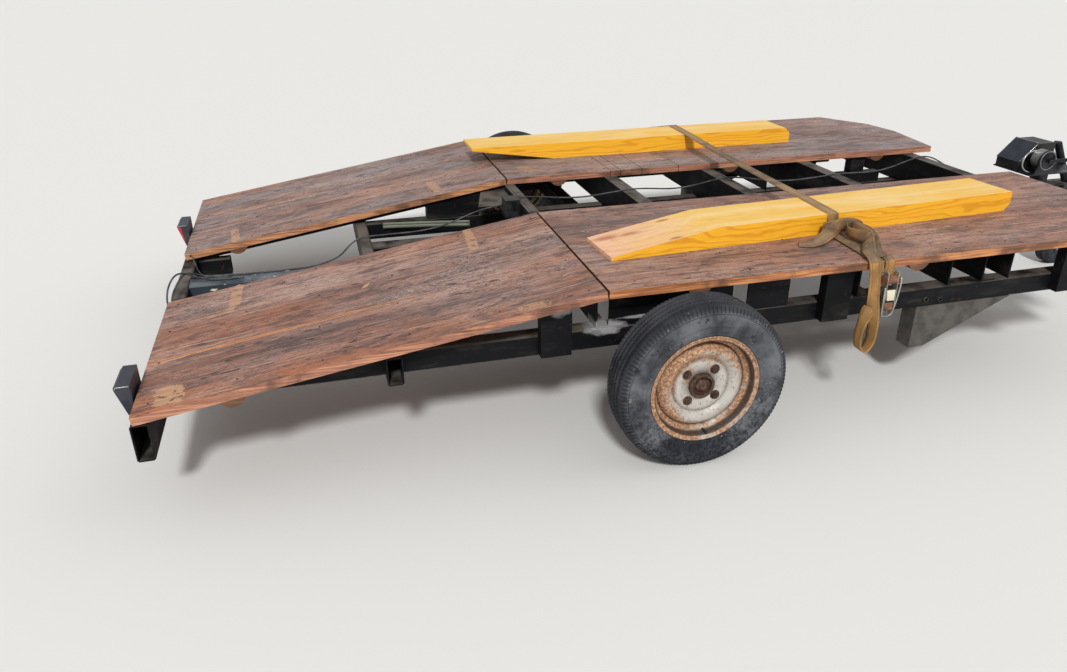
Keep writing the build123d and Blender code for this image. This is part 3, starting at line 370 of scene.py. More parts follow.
def rubber(name, colour="#303136", dust="#808287", dusty=0.62):
    # vulcanised rubber, sun-greyed, with road dust in patches, wet runs and dried splashes
    r = rubberLook
    made, tree = newMaterial(name)
    film = patches(tree, 7, 0.34, 0.66, 7)
    shade = coat(tree, colour, dust, film, dusty)
    ahead, above, radius = roundAxle(tree)
    running = add(tree, "MapRange", [weighted(tree, radius, (film, 0.008)), *r["runningBand"], 0, 0.72])
    shade = coat(tree, shade, r["running"], running)  # the tread is blacker
    shade = coat(tree, shade, r["line"], add(tree, "Math", [radius, *r["lineAt"]], operation="COMPARE"), 0.6)
    offMiddle = add(tree, "Math", [weighted(tree, -r["wallMiddle"], (radius, 1))], operation="ABSOLUTE")
    low = add(tree, "MapRange", [weighted(tree, offMiddle, (above, 1), (film, 0.06)), -0.1, -0.17])
    shade = coat(tree, shade, r["low"], low, 0.75)
    # painted shade in the tread's slots: a dark stripe at each slot round the shoulders
    turn = product(tree, add(tree, "Math", [above, ahead], operation="ARCTAN2"), r["slots"])
    slotShade = add(tree, "MapRange", [add(tree, "Math", [turn], operation="COSINE"), 0.0, 0.8])
    slotShade = product(tree, slotShade, add(tree, "Math", [radius, *r["slotShadeAt"]], operation="COMPARE"))
    shade = coat(tree, shade, r["slotShade"], slotShade, 0.6)
    lower = add(tree, "MapRange", [weighted(tree, above, (film, 0.1)), 0.12, -0.16, 0.12, 0.95])
    wet = patches(tree, 34, 0.62, 0.67, 5, move=(3, 0, 0))
    shade = coats(tree, shade, (r["mottle"], product(tree, patches(tree, 60, 0.47, 0.55, 6, 0.75), lower), 0.9),
                  (r["splash"], patches(tree, 60, 0.65, 0.71, 3), 0.45), (r["wet"], wet, 0.7))
    shine = add(tree, "MapRange", [wet, 0, 1, 0.75, 0.45])
    relief = weighted(tree, film, (cloud(tree, 260, 3), 1))
    return finish(made, tree, shade, shine, bump=relief, height=0.3, depth=0.0006, gloss=0.22)


# the stops of both rings are radii over the span, in metres
rimLook = dict(
    paint="#D2CDC3", paintDark="#94928D", speck="#8A6248", rust=("#6B4836", "#A97F60", "#DDB995"),
    shadeAndDirt="#2E211A", span=0.2,
    rustRing=((0.2, 0.42), (0.26, 0.26), (0.43, 0.2), (0.47, 0.72), (0.5, 0.36), (0.6, 0.62), (0.7, 1.0),
        (0.8, 1.15), (0.93, 1.2)),
    # painted shade with some dirt: dark rings in the groove round the centre, at the dome's edge and on the flange's
    # inner wall, which faces inwards
    shadeAndDirtRing=((0.4, 0.0), (0.46, 0.5), (0.49, 0.05), (0.7, 0.1), (0.72, 0.55), (0.745, 0.05), (0.79, 0.15),
        (0.806, 0.9), (0.824, 0.9), (0.836, 0.1), (0.93, 0.0)))


def rimPaint(name):
    # silver wheel paint under rust: pale in the middle, rust round the dome and the flange, painted shade with some
    # dirt in the grooves and on the flange's inner wall
    r = rimLook
    made, tree = newMaterial(name)
    ahead, above, radius = roundAxle(tree)
    radius = product(tree, radius, 1 / r["span"])
    ring = add(tree, "ValToRGB", [radius], r["rustRing"])
    blotch = cloud(tree, 22, 8, 0.68)
    # more rust above and behind than below; the same lean paints shade at the upper rear and a paler, painted
    # highlight below and ahead
    amount = weighted(tree, weighted(tree, -1.3, (blotch, 2.4)), (above, 2.2), (ahead, -2.2), (ring, 1))
    mask = add(tree, "MapRange", [amount, 0.25, 0.7])
    fine = cloud(tree, 130, 6, 0.7)
    rust = add(tree, "ValToRGB", [fine], tuple(zip((0.32, 0.5, 0.66), r["rust"])))
    # the last coat is painted shade with some dirt in the grooves and on the flange's inner wall
    shade = coats(tree, r["paint"], (r["paintDark"], blotch, 0.9),
                  (r["speck"], patches(tree, 110, 0.56, 0.64, 5, 0.7), 0.75), (rust, mask),
                  (r["shadeAndDirt"], add(tree, "ValToRGB", [radius], r["shadeAndDirtRing"])))
    shine = add(tree, "MapRange", [mask, 0, 1, 0.45, 0.8])
    return finish(made, tree, shade, shine, 0.1, bump=product(tree, mask, fine), height=0.35, depth=0.0008)


def mouldedPlastic(name, colour, rough=0.38, dust=0.25, film="#7B7C7E"):
    # injection-moulded plastic, sun-dulled, with fine dust and scratches
    made, tree = newMaterial(name)
    haze = patches(tree, 20, 0.38, 0.66, 5)
    shade = coats(tree, colour, (film, haze, dust),
                  (film, patches(tree, 1, 0.66, 0.72, 2, stretch=(40, 300, 300)), dust))
    shine = add(tree, "MapRange", [haze, 0, 1, rough, rough + 0.2])
    return finish(made, tree, shade, shine, bump=cloud(tree, 420, 2), height=0.2, depth=0.0005)


webbing = dict(
    colour="#B18347", shadow="#5F452A", dust="#93806A", heap="#4A3F37", stitch="#3A2A1A", shine="#C9A878",
    rib=0.006, pick=0.0045, middle=0.0225, laneAt=(0.013, 0.0016), heapAt=(0.598, 0.036))


def polyesterWebbing(name):
    # woven polyester strap, muddy: the weave runs in the strap's own UV map, in metres, and its threads are
    # drawn 3 times too coarse so that they show
    w = webbing
    made, tree = newMaterial(name)
    spot = add(tree, "SeparateXYZ", [add(tree, "UVMap", uv_map="weave")]).outputs
    waves = [add(tree, "Math", [product(tree, spot[axis], 2 * pi / gap)], operation="SINE")
             for axis, gap in (("X", w["rib"]), ("Y", w["pick"]))]
    thread = product(tree, *waves)
    mud = patches(tree, 18, 0.36, 0.66, 5)
    shade = coat(tree, w["colour"], w["shadow"], weighted(tree, 0.05, (mud, 0.5)))
    shade = coat(tree, shade, w["dust"], add(tree, "MapRange", [facing(tree)["Z"], 0.4, 0.9]), 0.55)
    # darker in the band of height that holds the bunched folds
    heap = add(tree, "Math", [coordinates(tree)["Z"], *w["heapAt"]], operation="COMPARE")
    shade = coat(tree, shade, w["heap"], product(tree, heap, weighted(tree, 0.3, (mud, 0.4))))
    offMiddle = add(tree, "Math", [weighted(tree, -w["middle"], (spot["Y"], 1))], operation="ABSOLUTE")
    shade = coat(tree, shade, w["stitch"], add(tree, "Math", [offMiddle, *w["laneAt"]], operation="COMPARE"), 0.4)
    shade = coat(tree, shade, w["shine"], add(tree, "MapRange", [thread, 0.2, 0.9]), 0.22)
    return finish(made, tree, shade, 0.85, bump=thread, height=0.5)


finishes = {
    "frame_paint": paintedSteel("brushedBlackPaint", "#07080A", "#15171C", dusty=0.8, gloss=0.16,
                                chalk=chalkSplashes),
    "spine_paint": paintedSteel("blueGreyEnamel", "#242E36", "#38444D", dust="#7C8488", dusty=0.6, chip="#D8CFB4"),
    "bare_steel": zincSteel("dullGalvanising", "#5F5C57", "#45433F", stained=0.6, rough=0.6, metal=0.35),
    "timber": yellowTimber("oiledSpruce"),
    "tyre": rubber("tyreRubber"),
    "rim": rimPaint("rustedWheelPaint"),
    "hub": rustyIron("rustedHubIron"),
    "lamp_housing": mouldedPlastic("lampHousingPlastic", "#161D2B", 0.3, 0.14),
    "lamp_lens": mouldedPlastic("redLensAcrylic", "#B5161B", 0.12, 0.08, "#E3A0A0"),
    "box": mouldedPlastic("blackBoxPlastic", "#08090B", 0.35, 0.08),
    "lid": mouldedPlastic("navyLidPlastic", "#0F1929", 0.25, 0.08),
    "jockey_steel": zincSteel("zincPlating"),
    "rubber": rubber("solidRollerRubber", "#26272A"),
    "webbing": polyesterWebbing("muddyWebbing"),
    "cable": mouldedPlastic("cablePvc", "#17181B", 0.45, 0.4),
}
extras = {  # finishes of small fittings that have no slot of their own
    "rustyFitting": rustyIron("rustedFittingSteel", "#3A2A22", "#7A5238", "#A97B52"),
    "brightFitting": zincSteel("brightZincPlating", "#C9C8C4", "#9A9993", stained=0.25, rough=0.3, metal=0.85),
    "wornLabel": mouldedPlastic("fadedPvcSleeve", "#D9D2B8", 0.5, 0.3, "#8C826C"),
    "paleBar": paintedSteel("chalkyGreenPaint", "#6A7060", "#50554C", dust="#A39D8C", rust=0.4, rough=0.65),
    "darkWinch": zincSteel("sootySteel", "#33343A", "#1B1C20", stain="#4A3222", stained=0.4, rough=0.4, metal=0.6),
    "nailHead": rustyIron("rustedNailSteel", "#1C1412", "#3A2822", "#6B4A38"),
}
bareSpots = {  # middle x and y, half sizes, skew, strength
    "ramp_right": ((-1.552, -1.01, 0.042, 0.056, 0.05, 0.9), (-1.4, -0.375, 0.02, 0.108, -0.03, 0.65),
                   (-0.545, -0.365, 0.018, 0.125, -0.05, 0.65), (-0.48, -1.056, 0.05, 0.022, 0.4, 0.55),
                   (-0.952, -0.567, 0.009, 0.018, -0.6, 0.9)),
    "ramp_left": ((-1.444, 0.35, 0.018, 0.1, 0.09, 0.7), (-1.54, 1.0, 0.085, 0.04, 0.2, 0.3),
                  (-0.565, 0.385, 0.02, 0.095, 0.1, 0.55)),
    "level_right": ((-0.17, -0.925, 0.05, 0.012, 0.1, 0.5),),
    "level_left": ((-0.12, 0.4, 0.04, 0.05, 0.2, 0.35),),
}
# each panel's greyness, warmth, seed and the colours of its raw edges
boardFinish = {
    "deck_boards_right": weatheredPanel("levelPanelRight", 0.2, 0.5, 2.0, bareSpots["level_right"],
                                        edge=("#A86A42", "#D6935A")),
    "ramp_boards_right": weatheredPanel("rampPanelRight", 0.1, 0.6, 5.3, bareSpots["ramp_right"],
                                        seam=(-0.762, -0.9)),
    "deck_boards_left": weatheredPanel("levelPanelLeft", 1.0, 0.05, 8.1, bareSpots["level_left"]),
    "ramp_boards_left": weatheredPanel("rampPanelLeft", 1.1, 0.05, 11.7, bareSpots["ramp_left"],
                                       edge=("#B27A54", "#DC9F6E")),
    "battens": weatheredPanel("logBatten", 0.0, 1.0, 3.0, edge=("#5C3F2C", "#80583A")),
    "loading_timber_right": yellowTimber("oiledSpruceWedge", True, ((-0.125, -0.68, 0.03), (-0.037, -0.693, 0.026))),
}
slotOf = {part["node"]: part["material_slot"] for part in frame["record"]["subparts"]}
for name, obj in nodes.items():
    obj.data.materials.clear()
    own = boardFinish.get(name) or finishes[slotOf[name]]
    if name.startswith("winch"):
        own = extras["darkWinch"]
    if name.startswith("junction"):
        own = finishes["box"]
    obj.data.materials.append(own)
print("finishes laid on the frame")


def closePiece(name, mesh, finishName, body="chassis", smooth=True, look=None, doubles=False, bevel=0.0):
    # doubles merged and edges rounded where asked, outward normals, a finish, and a body to ride on
    work = bmesh.new()
    work.from_mesh(mesh)
    if doubles:
        bmesh.ops.remove_doubles(work, verts=work.verts, dist=0.00001)
    bmesh.ops.recalc_face_normals(work, faces=work.faces)
    if bevel:
        bmesh.ops.remove_doubles(work, verts=work.verts, dist=0.00001)
        edges = work.edges[:] + work.verts[:]
        bmesh.ops.bevel(work, geom=edges, offset=bevel, segments=2, profile=0.5, affect="EDGES")
        bmesh.ops.recalc_face_normals(work, faces=work.faces)
    for face in work.faces:
        face.smooth = smooth
    work.to_mesh(mesh)
    work.free()
    obj = inScene(bpy.data.objects.new(name, mesh))
    mesh.materials.clear()
    mesh.materials.append(extras[look] if look else finishes[finishName])
    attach(obj, body)
    return obj


def meshPiece(name, shape, finishName, body="chassis", smooth=True, uv=None, look=None, bevel=0.0):
    verts, faces = shape
    mesh = bpy.data.meshes.new(name)
    mesh.from_pydata([tuple(v) for v in verts], [], faces)
    if uv:
        layer = mesh.uv_layers.new(name="weave")
        for loop in mesh.loops:
            layer.data[loop.index].uv = uv[loop.vertex_index]
    return closePiece(name, mesh, finishName, body, smooth, look, bevel=bevel)


def frozen(maker):
    # what a maker object evaluates to, as a plain mesh; the maker itself goes
    inScene(maker)
    mesh = bpy.data.meshes.new_from_object(maker.evaluated_get(bpy.context.evaluated_depsgraph_get()))
    maker.modifiers.clear()
    bpy.data.objects.remove(maker)
    return mesh


def ringMesh(profile, centre, segments, outward=1):
    # turns a closed profile of (outwards, radius) pairs round the Y axis through the centre
    verts, faces = [], []
    for k in range(segments):
        angle = 2 * pi * k / segments
        for a, r in (profile(k) if callable(profile) else profile):
            verts.append(centre + Vector((r * cos(angle), outward * a, r * sin(angle))))
    count = len(verts) // segments
    for k in range(segments):
        for i in range(count):
            j, n = (i + 1) % count, (k + 1) % segments
            faces.append((k * count + i, k * count + j, n * count + j, n * count + i))
    return verts, faces


def join(shapes):
    # several sets of corners and faces as one
    verts, faces = [], []
    for more, moreFaces in shapes:
        faces += [tuple(i + len(verts) for i in f) for f in moreFaces]
        verts += more
    return verts, faces


def slab(corners, depth):
    # a flat plate: its outline's corners, and the vector of its thickness
    n = len(corners)
    depth = Vector(depth)
    verts = [Vector(c) for c in corners] + [Vector(c) + depth for c in corners]
    faces = [tuple(range(n)), tuple(range(2 * n - 1, n - 1, -1))]
    faces += [(i, (i + 1) % n, n + (i + 1) % n, n + i) for i in range(n)]
    return verts, faces


def smoothLine(stations, steps):
    # a line through its stations, in even steps between each two
    made = []
    for i in range(len(stations) - 1):
        p0, p1 = stations[max(i - 1, 0)], stations[i]
        p2, p3 = stations[i + 1], stations[min(i + 2, len(stations) - 1)]
        for k in range(steps):
            t = k / steps
            bend = (p0 * 2 - p1 * 5 + p2 * 4 - p3) * (t * t / 2) + (p1 * 3 - p0 - p2 * 3 + p3) * (t ** 3 / 2)
            made.append(p1 + (p2 - p0) * (t / 2) + bend)
    return made + [stations[-1]]


strap = dict(thick=0.0024, columns=5)


def ribbon(name, stations, width=0.045, steps=8):
    # a flat strap through its stations: each a middle point from the axle and the way its width lies there
    line = smoothLine([at(*p) for *p, w in stations], steps)
    ways = smoothLine([Vector(w).normalized() for *p, w in stations], steps)
    verts, faces, uv = [], [], []
    along, columns = 0.0, strap["columns"]
    for i, (p, w) in enumerate(zip(line, ways)):
        run = (line[min(i + 1, len(line) - 1)] - line[max(i - 1, 0)]).normalized()
        w = (w - run * w.dot(run)).normalized()
        face = run.cross(w)
        along += (p - line[i - 1]).length if i else 0
        for side in (1, -1):
            for c in range(columns):
                t = (c / (columns - 1) - 0.5) * side
                verts.append(p + w * (t * width) + face * (side * strap["thick"] / 2))
                uv.append((along, (t + 0.5) * width))
    ring = 2 * columns
    for i in range(len(line) - 1):
        for c in range(ring):
            d = (c + 1) % ring
            faces.append((i * ring + c, i * ring + d, (i + 1) * ring + d, (i + 1) * ring + c))
    faces.append(tuple(range(ring - 1, -1, -1)))
    faces.append(tuple((len(line) - 1) * ring + c for c in range(ring)))
    return meshPiece(name, (verts, faces), "webbing", uv=uv)


def wire(name, route, radius, finishName, body="chassis", look=None):
    # a round lead or bar on one smooth curve with the route's points as its control points
    curve = bpy.data.curves.new(name, "CURVE")
    curve.dimensions = "3D"
    curve.bevel_depth = radius
    curve.bevel_resolution = 3
    curve.use_fill_caps = True
    spline = curve.splines.new("NURBS")
    spline.points.add(len(route) - 1)
    for point, where in zip(spline.points, route):
        point.co = (*at(*where), 1)
    spline.order_u = 3
    spline.use_endpoint_u = True
    spline.resolution_u = 10
    mesh = frozen(bpy.data.objects.new(name, curve))
    bpy.data.curves.remove(curve)
    mesh.name = name
    return closePiece(name, mesh, finishName, body, True, look, doubles=True)


def newTree(name, **sizes):
    # a geometry tree with named inputs
    tree = bpy.data.node_groups.new(name, "GeometryNodeTree")
    tree.interface.new_socket("Geometry", in_out="OUTPUT", socket_type="NodeSocketGeometry")
    for label, value in sizes.items():
        kind = "Vector" if isinstance(value, tuple) else "Float" if isinstance(value, float) else "Int"
        tree.interface.new_socket(label, in_out="INPUT", socket_type=f"NodeSocket{kind}").default_value = value
    tree.interface.new_socket("Finish", in_out="INPUT", socket_type="NodeSocketMaterial")
    return tree, add(tree, "NodeGroupInput").outputs


def closeTree(tree, shape, given):
    real = add(tree, "GeometryNodeRealizeInstances", {"Geometry": shape})
    dressed = add(tree, "GeometryNodeSetMaterial", {"Geometry": real, "Material": given["Finish"]})
    add(tree, "NodeGroupOutput", {"Geometry": dressed})
    return tree


def grow(name, tree, sizes, finishName, where, body="chassis", look=None, smooth=False):
    # runs a geometry tree with its sizes and keeps the result as a plain mesh, moved to its place
    maker = bpy.data.objects.new(name, bpy.data.meshes.new(name))
    modifier = maker.modifiers.new("grow", "NODES")
    modifier.node_group = tree
    sockets = {item.name: item.identifier for item in tree.interface.items_tree if item.in_out == "INPUT"}
    for label, value in {"Finish": extras[look] if look else finishes[finishName], **sizes}.items():
        modifier[sockets[label]] = value
    mesh = frozen(maker)
    mesh.transform(where)
    return closePiece(name, mesh, finishName, body, smooth, look)


def boltTree():
    # bolts round a circle: six-sided heads on washers, each turned a little differently
    tree, given = newTree("boltCircle", Count=4, Circle=0.065, Head=0.0095, Height=0.007, Corners=6, Seed=3)
    circle = add(tree, "GeometryNodeMeshCircle", {"Vertices": given["Count"], "Radius": given["Circle"]})
    head = add(tree, "GeometryNodeMeshCylinder",
               {"Vertices": given["Corners"], "Radius": given["Head"], "Depth": given["Height"]})
    raised = add(tree, "GeometryNodeTransform", {"Geometry": head, "Translation": (0, 0, 0.0045)})
    washer = add(tree, "GeometryNodeMeshCylinder",
                 {"Vertices": 20, "Radius": product(tree, given["Head"], 1.35), "Depth": 0.0022})
    stud = add(tree, "GeometryNodeMeshCone",
               {"Vertices": 14, "Radius Bottom": product(tree, given["Head"], 0.55),
                "Radius Top": product(tree, given["Head"], 0.45), "Depth": product(tree, given["Height"], 1.5)})
    both = add(tree, "GeometryNodeJoinGeometry", {"Geometry": [raised, washer, stud]})
    spin = add(tree, "FunctionNodeRandomValue", {"Max": (0, 0, 1.0), "Seed": given["Seed"]}, data_type="FLOAT_VECTOR")
    placed = add(tree, "GeometryNodeInstanceOnPoints", {"Points": circle, "Instance": both, "Rotation": spin})
    return closeTree(tree, placed, given)


def rowTree():
    # small round heads in a row, such as nails and screws, each a little out of line
    tree, given = newTree("headRow", Count=4, Step=(0, 0.2, 0), Stray=(0.004, 0.008, 0), Head=0.004, Height=0.0012,
                          Seed=1)
    line = add(tree, "GeometryNodeMeshLine", {"Count": given["Count"], "Offset": given["Step"]})
    back = add(tree, "VectorMath", [given["Stray"], (-1, -1, -1)], operation="MULTIPLY")
    stray = add(tree, "FunctionNodeRandomValue", {"Min": back, "Max": given["Stray"], "Seed": given["Seed"]},
                data_type="FLOAT_VECTOR")
    moved = add(tree, "GeometryNodeSetPosition", {"Geometry": line, "Offset": stray})
    head = add(tree, "GeometryNodeMeshCone",
               {"Vertices": 10, "Radius Bottom": given["Head"], "Radius Top": product(tree, given["Head"], 0.7),
                "Depth": given["Height"]})
    placed = add(tree, "GeometryNodeInstanceOnPoints", {"Points": moved, "Instance": head})
    return closeTree(tree, placed, given)


def toothTree():
    # teeth round a wheel, each square to its radius
    tree, given = newTree("toothRing", Count=12, Circle=0.02, Tooth=(0.006, 0.004, 0.003))
    circle = add(tree, "GeometryNodeMeshCircle", {"Vertices": given["Count"], "Radius": given["Circle"]})
    turn = product(tree, add(tree, "GeometryNodeInputIndex"), 2 * pi)
    turn = add(tree, "Math", [turn, given["Count"]], operation="DIVIDE")
    aim = add(tree, "CombineXYZ", {"Z": turn})
    tooth = add(tree, "GeometryNodeMeshCube", {"Size": given["Tooth"]})
    placed = add(tree, "GeometryNodeInstanceOnPoints", {"Points": circle, "Instance": tooth, "Rotation": aim})
    plate = add(tree, "GeometryNodeMeshCylinder", {"Vertices": 36, "Radius": given["Circle"], "Depth": 0.0028})
    return closeTree(tree, add(tree, "GeometryNodeJoinGeometry", {"Geometry": [placed, plate]}), given)


def windingTree():
    # turns of rope side by side on a drum
    tree, given = newTree("windings", Turns=8, Drum=0.04, Rope=0.0035)
    circle = add(tree, "GeometryNodeCurvePrimitiveCircle", {"Resolution": 40, "Radius": given["Drum"]})
    section = add(tree, "GeometryNodeCurvePrimitiveCircle", {"Resolution": 8, "Radius": given["Rope"]})
    turn = add(tree, "GeometryNodeCurveToMesh", {"Curve": circle, "Profile Curve": section})
    step = add(tree, "CombineXYZ", {"Z": product(tree, given["Rope"], 2.0)})
    line = add(tree, "GeometryNodeMeshLine", {"Count": given["Turns"], "Offset": step})
    return closeTree(tree, add(tree, "GeometryNodeInstanceOnPoints", {"Points": line, "Instance": turn}), given)


boltCircle, headRow, toothRing, windings = boltTree(), rowTree(), toothTree(), windingTree()
print("geometry trees built")

# sections are pairs of outwards and radius; the shoulder's points add a share of the notch
tyre = dict(
    tread=0.052, crown=0.0035, radius=0.281, groove=0.006, grooveWidth=0.0062, lip=0.0008,
    grooves=(-0.0315, -0.0105, 0.0105, 0.0315), segments=3 * rubberLook["slots"], notch=0.006, notchEvery=3,
    sipe=0.35, shoulder=((0.0575, 0.2748, 0.35), (0.0625, 0.2695, 1.0), (0.066, 0.263, 0.8)),
    wall=((0.0682, 0.2575), (0.069, 0.255), (0.07, 0.2525), (0.0716, 0.244), (0.0725, 0.235),
        (0.0725, 0.226), (0.0719, 0.218), (0.0722, 0.2165), (0.0708, 0.215), (0.07, 0.2065),
        (0.0688, 0.1995), (0.0692, 0.1972), (0.0678, 0.1955), (0.0668, 0.189), (0.0648, 0.1825),
        (0.0612, 0.1802), (0.0592, 0.1765), (0.0592, 0.1655), (0.045, 0.1655), (0.058, 0.215), (0.053, 0.258)))


def tyreProfile(k):
    # the section at one step round the wheel: crown with grooves, notched shoulders, ringed side walls
    t = tyre
    drop = t["notch"] if k % t["notchEvery"] == 0 else 0
    half, edge, lip = t["grooveWidth"] / 2, t["tread"], t["lip"]
    across = [(-edge, 0)]
    for g in t["grooves"]:
        across += [(g - half, 0), (g - half + lip, 1), (g + half - lip, 1), (g + half, 0)]
    across.append((edge, 0))
    sipe = drop * t["sipe"]
    tread = [(a, t["radius"] - t["crown"] * (a / edge) ** 2 - max(t["groove"] * deep, sipe)) for a, deep in across]
    right = [(a, r - drop * share) for a, r, share in t["shoulder"]] + list(t["wall"])
    return [(-a, r) for a, r in reversed(right)] + tread + right


wheel = dict(
    discThick=0.004, barrelThick=0.0034, segments=128,
    disc=((0.029, 0.042), (0.029, 0.087), (0.0275, 0.0905), (0.0245, 0.093), (0.024, 0.095),
        (0.0275, 0.0985), (0.0305, 0.101), (0.035, 0.106), (0.038, 0.112), (0.0392, 0.118),
        (0.0385, 0.124), (0.0358, 0.13), (0.031, 0.1355), (0.024, 0.14), (0.013, 0.1432)),
    flange=((0.0655, 0.1772), (0.0635, 0.1782), (0.0614, 0.1768), (0.0603, 0.1725), (0.0597, 0.1655),
        (0.057, 0.1636)),
    well=((0.042, 0.163), (0.035, 0.1612), (0.029, 0.154), (0.025, 0.1475), (0.021, 0.1458),
        (-0.034, 0.1458), (-0.0385, 0.15), (-0.042, 0.1632)))
hub = dict(
    face=0.031, circle=0.065, count=4, turn=50, head=0.0118, height=0.009, nutOut=0.024, nutCircle=0.01681,
    nutTooth=(0.01025, 0.01271, 0.014),
    stub=((0.02, 0.0004), (0.02, 0.0185), (0.034, 0.0195), (0.0385, 0.0165), (0.0385, 0.0125),
        (0.046, 0.0115), (0.048, 0.0095), (0.048, 0.0004)))
valve = dict(radius=0.161, angle=-84, out=0.036, length=0.032, lean=0.004, width=0.0042)


def thickProfile(points, thickness):
    # a strip of even thickness round a line of points
    out, back = [], []
    for i, (a, r) in enumerate(points):
        normals = []
        for p, q in ((i - 1, i), (i, i + 1)):
            if p >= 0 and q < len(points):
                da, dr = points[q][0] - points[p][0], points[q][1] - points[p][1]
                normals.append(Vector((-dr, da)).normalized())
        n = sum(normals, Vector((0, 0))) / len(normals)
        n /= max(n.length_squared, 0.3)
        out.append((a + n.x * thickness / 2, r + n.y * thickness / 2))
        back.append((a - n.x * thickness / 2, r - n.y * thickness / 2))
    return out + back[::-1]


barrel = wheel["flange"] + wheel["well"] + tuple((-a, r) for a, r in wheel["flange"][::-1])
for side, s in sides.items():
    low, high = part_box(f"tyre_{side}")
    centre = (low + high) / 2
    body = f"wheel_{side}"
    tread = ringMesh(tyreProfile, centre, tyre["segments"], s)
    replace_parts(meshPiece(f"tyreTread_{side}", tread, "tyre", body), f"tyre_{side}")
    profiles = thickProfile(wheel["disc"], wheel["discThick"]), thickProfile(barrel, wheel["barrelThick"])
    shapes = join([ringMesh(profile, centre, wheel["segments"], s) for profile in profiles])
    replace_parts(meshPiece(f"wheelDisc_{side}", shapes, "rim", body), f"rim_{side}")
    outwards = Matrix.Rotation(radians(-90 * s), 4, "X")  # the trees' upward side comes to face outwards
    where = Matrix.Translation(centre + Vector((0, s * hub["face"], 0))) @ outwards
    where = where @ Matrix.Rotation(radians(-s * hub["turn"]), 4, "Z")
    sizes = {"Count": hub["count"], "Circle": hub["circle"], "Head": hub["head"], "Height": hub["height"]}
    grow(f"wheelBolts_{side}", boltCircle, sizes, "hub", where, body)
    where = Matrix.Translation(centre + Vector((0, s * hub["nutOut"], 0))) @ outwards
    sizes = {"Count": 6, "Circle": hub["nutCircle"], "Tooth": hub["nutTooth"]}
    grow(f"hubNut_{side}", toothRing, sizes, "hub", where, body)
    meshPiece(f"hubStub_{side}", ringMesh(hub["stub"], centre, 24, s), "hub", body)
    ahead, above = cos(radians(valve["angle"])), sin(radians(valve["angle"]))
    foot = Vector((valve["radius"] * ahead, centre.y + s * valve["out"], centre.z + valve["radius"] * above))
    lean = Vector((-valve["lean"] * ahead, s * valve["length"], -valve["lean"] * above))
    wire(f"valveStem_{side}", [foot - lean * 0.2, foot + lean * 0.4, foot + lean], valve["width"], "rubber", body)
print("wheels turned")

# the strap lies a little askew over both timbers; runs are y, z and a shift forward
lashing = dict(x=0.73, slew=0.0472, timberTop=deckTop + 0.0745, lie=deckTop + 0.0025, hangY=1.0965, hook=0.49)
top, lie = lashing["timberTop"], lashing["lie"]
strapRun = (
    (lashing["hangY"], lashing["hook"]), (lashing["hangY"], 0.53), (1.0955, 0.559), (1.084, 0.5665),
    (0.94, 0.6), (0.79, 0.635), (0.772, top), (0.66, top), (0.565, top), (0.545, top - 0.0005),
    (0.2, top - 0.006), (-0.2, top - 0.006), (-0.56, top - 0.001), (-0.575, top), (-0.69, top), (-0.783, top),
    (-0.7975, top - 0.005), (-0.8025, 0.61), (-0.812, 0.58), (-0.85, lie + 0.004), (-0.95, lie + 0.0035),
    (-1.06, lie + 0.001), (-1.0885, 0.564, 0.001), (-1.0965, 0.55, 0.002), (-1.0975, 0.52, 0.003))
flatWay = (1, lashing["slew"], 0)
overDeck = ribbon("lashingStrap", [(lashing["x"] + y * lashing["slew"] + sum(shift), y, z, flatWay)
                                   for y, z, *shift in strapRun], steps=6)
upWay, alongWay = (0.15, 0, 1), (1, 0, 0)
ribbon("strapTail", [
    (0.745, -0.9, 0.588, upWay), (0.77, -0.86, 0.592, upWay), (0.768, -0.828, 0.596, (0.3, 0.1, 1)),
    (0.735, -0.82, 0.6, (0.2, 0.3, 1)), (0.69, -0.838, 0.6, (0.0, 0.5, 0.9)), (0.64, -0.868, 0.592, (-0.1, 0.8, 0.6)),
    (0.59, -0.892, 0.577, (-0.2, 1, 0.3)), (0.545, -0.895, 0.568, (-0.1, 1, 0.08)),
    (0.515, -0.88, 0.5665, (0.1, 1, 0))])
ribbon("strapFold", [
    (0.66, -0.868, 0.59, upWay), (0.632, -0.85, 0.592, upWay), (0.64, -0.826, 0.594, upWay),
    (0.69, -0.822, 0.598, upWay), (0.725, -0.846, 0.604, (0.3, 0, 1)), (0.722, -0.892, 0.608, (0.2, -0.2, 1)),
    (0.735, -0.945, 0.602, (0.5, -0.3, 1)),
    (0.706, -0.995, 0.594, (0.9, -0.2, 0.7)), (0.676, -1.045, 0.582, (1, 0, 0.25)), (0.664, -1.085, 0.5745, alongWay),
    (0.662, -1.104, 0.556, alongWay), (0.668, -1.11, 0.5, alongWay), (0.672, -1.113, 0.435, (1, -0.15, 0)),
    (0.676, -1.117, 0.39, (0.8, -0.6, 0)), (0.681, -1.122, 0.345, (0.4, -1, 0)), (0.68, -1.126, 0.3, (0.15, -1, 0)),
    (0.67, -1.127, 0.268, (0.05, -1, 0.1)), (0.654, -1.128, 0.255, (0, -1, 0)), (0.637, -1.128, 0.264, (0, -1, 0)),
    (0.627, -1.128, 0.292, (0, -1, 0)), (0.627, -1.127, 0.328, (0, -1, 0)), (0.635, -1.125, 0.36, (0.1, -1, 0)),
    (0.648, -1.122, 0.39, (0.5, -0.8, 0)), (0.658, -1.121, 0.412, (1, -0.3, 0))], width=0.043)
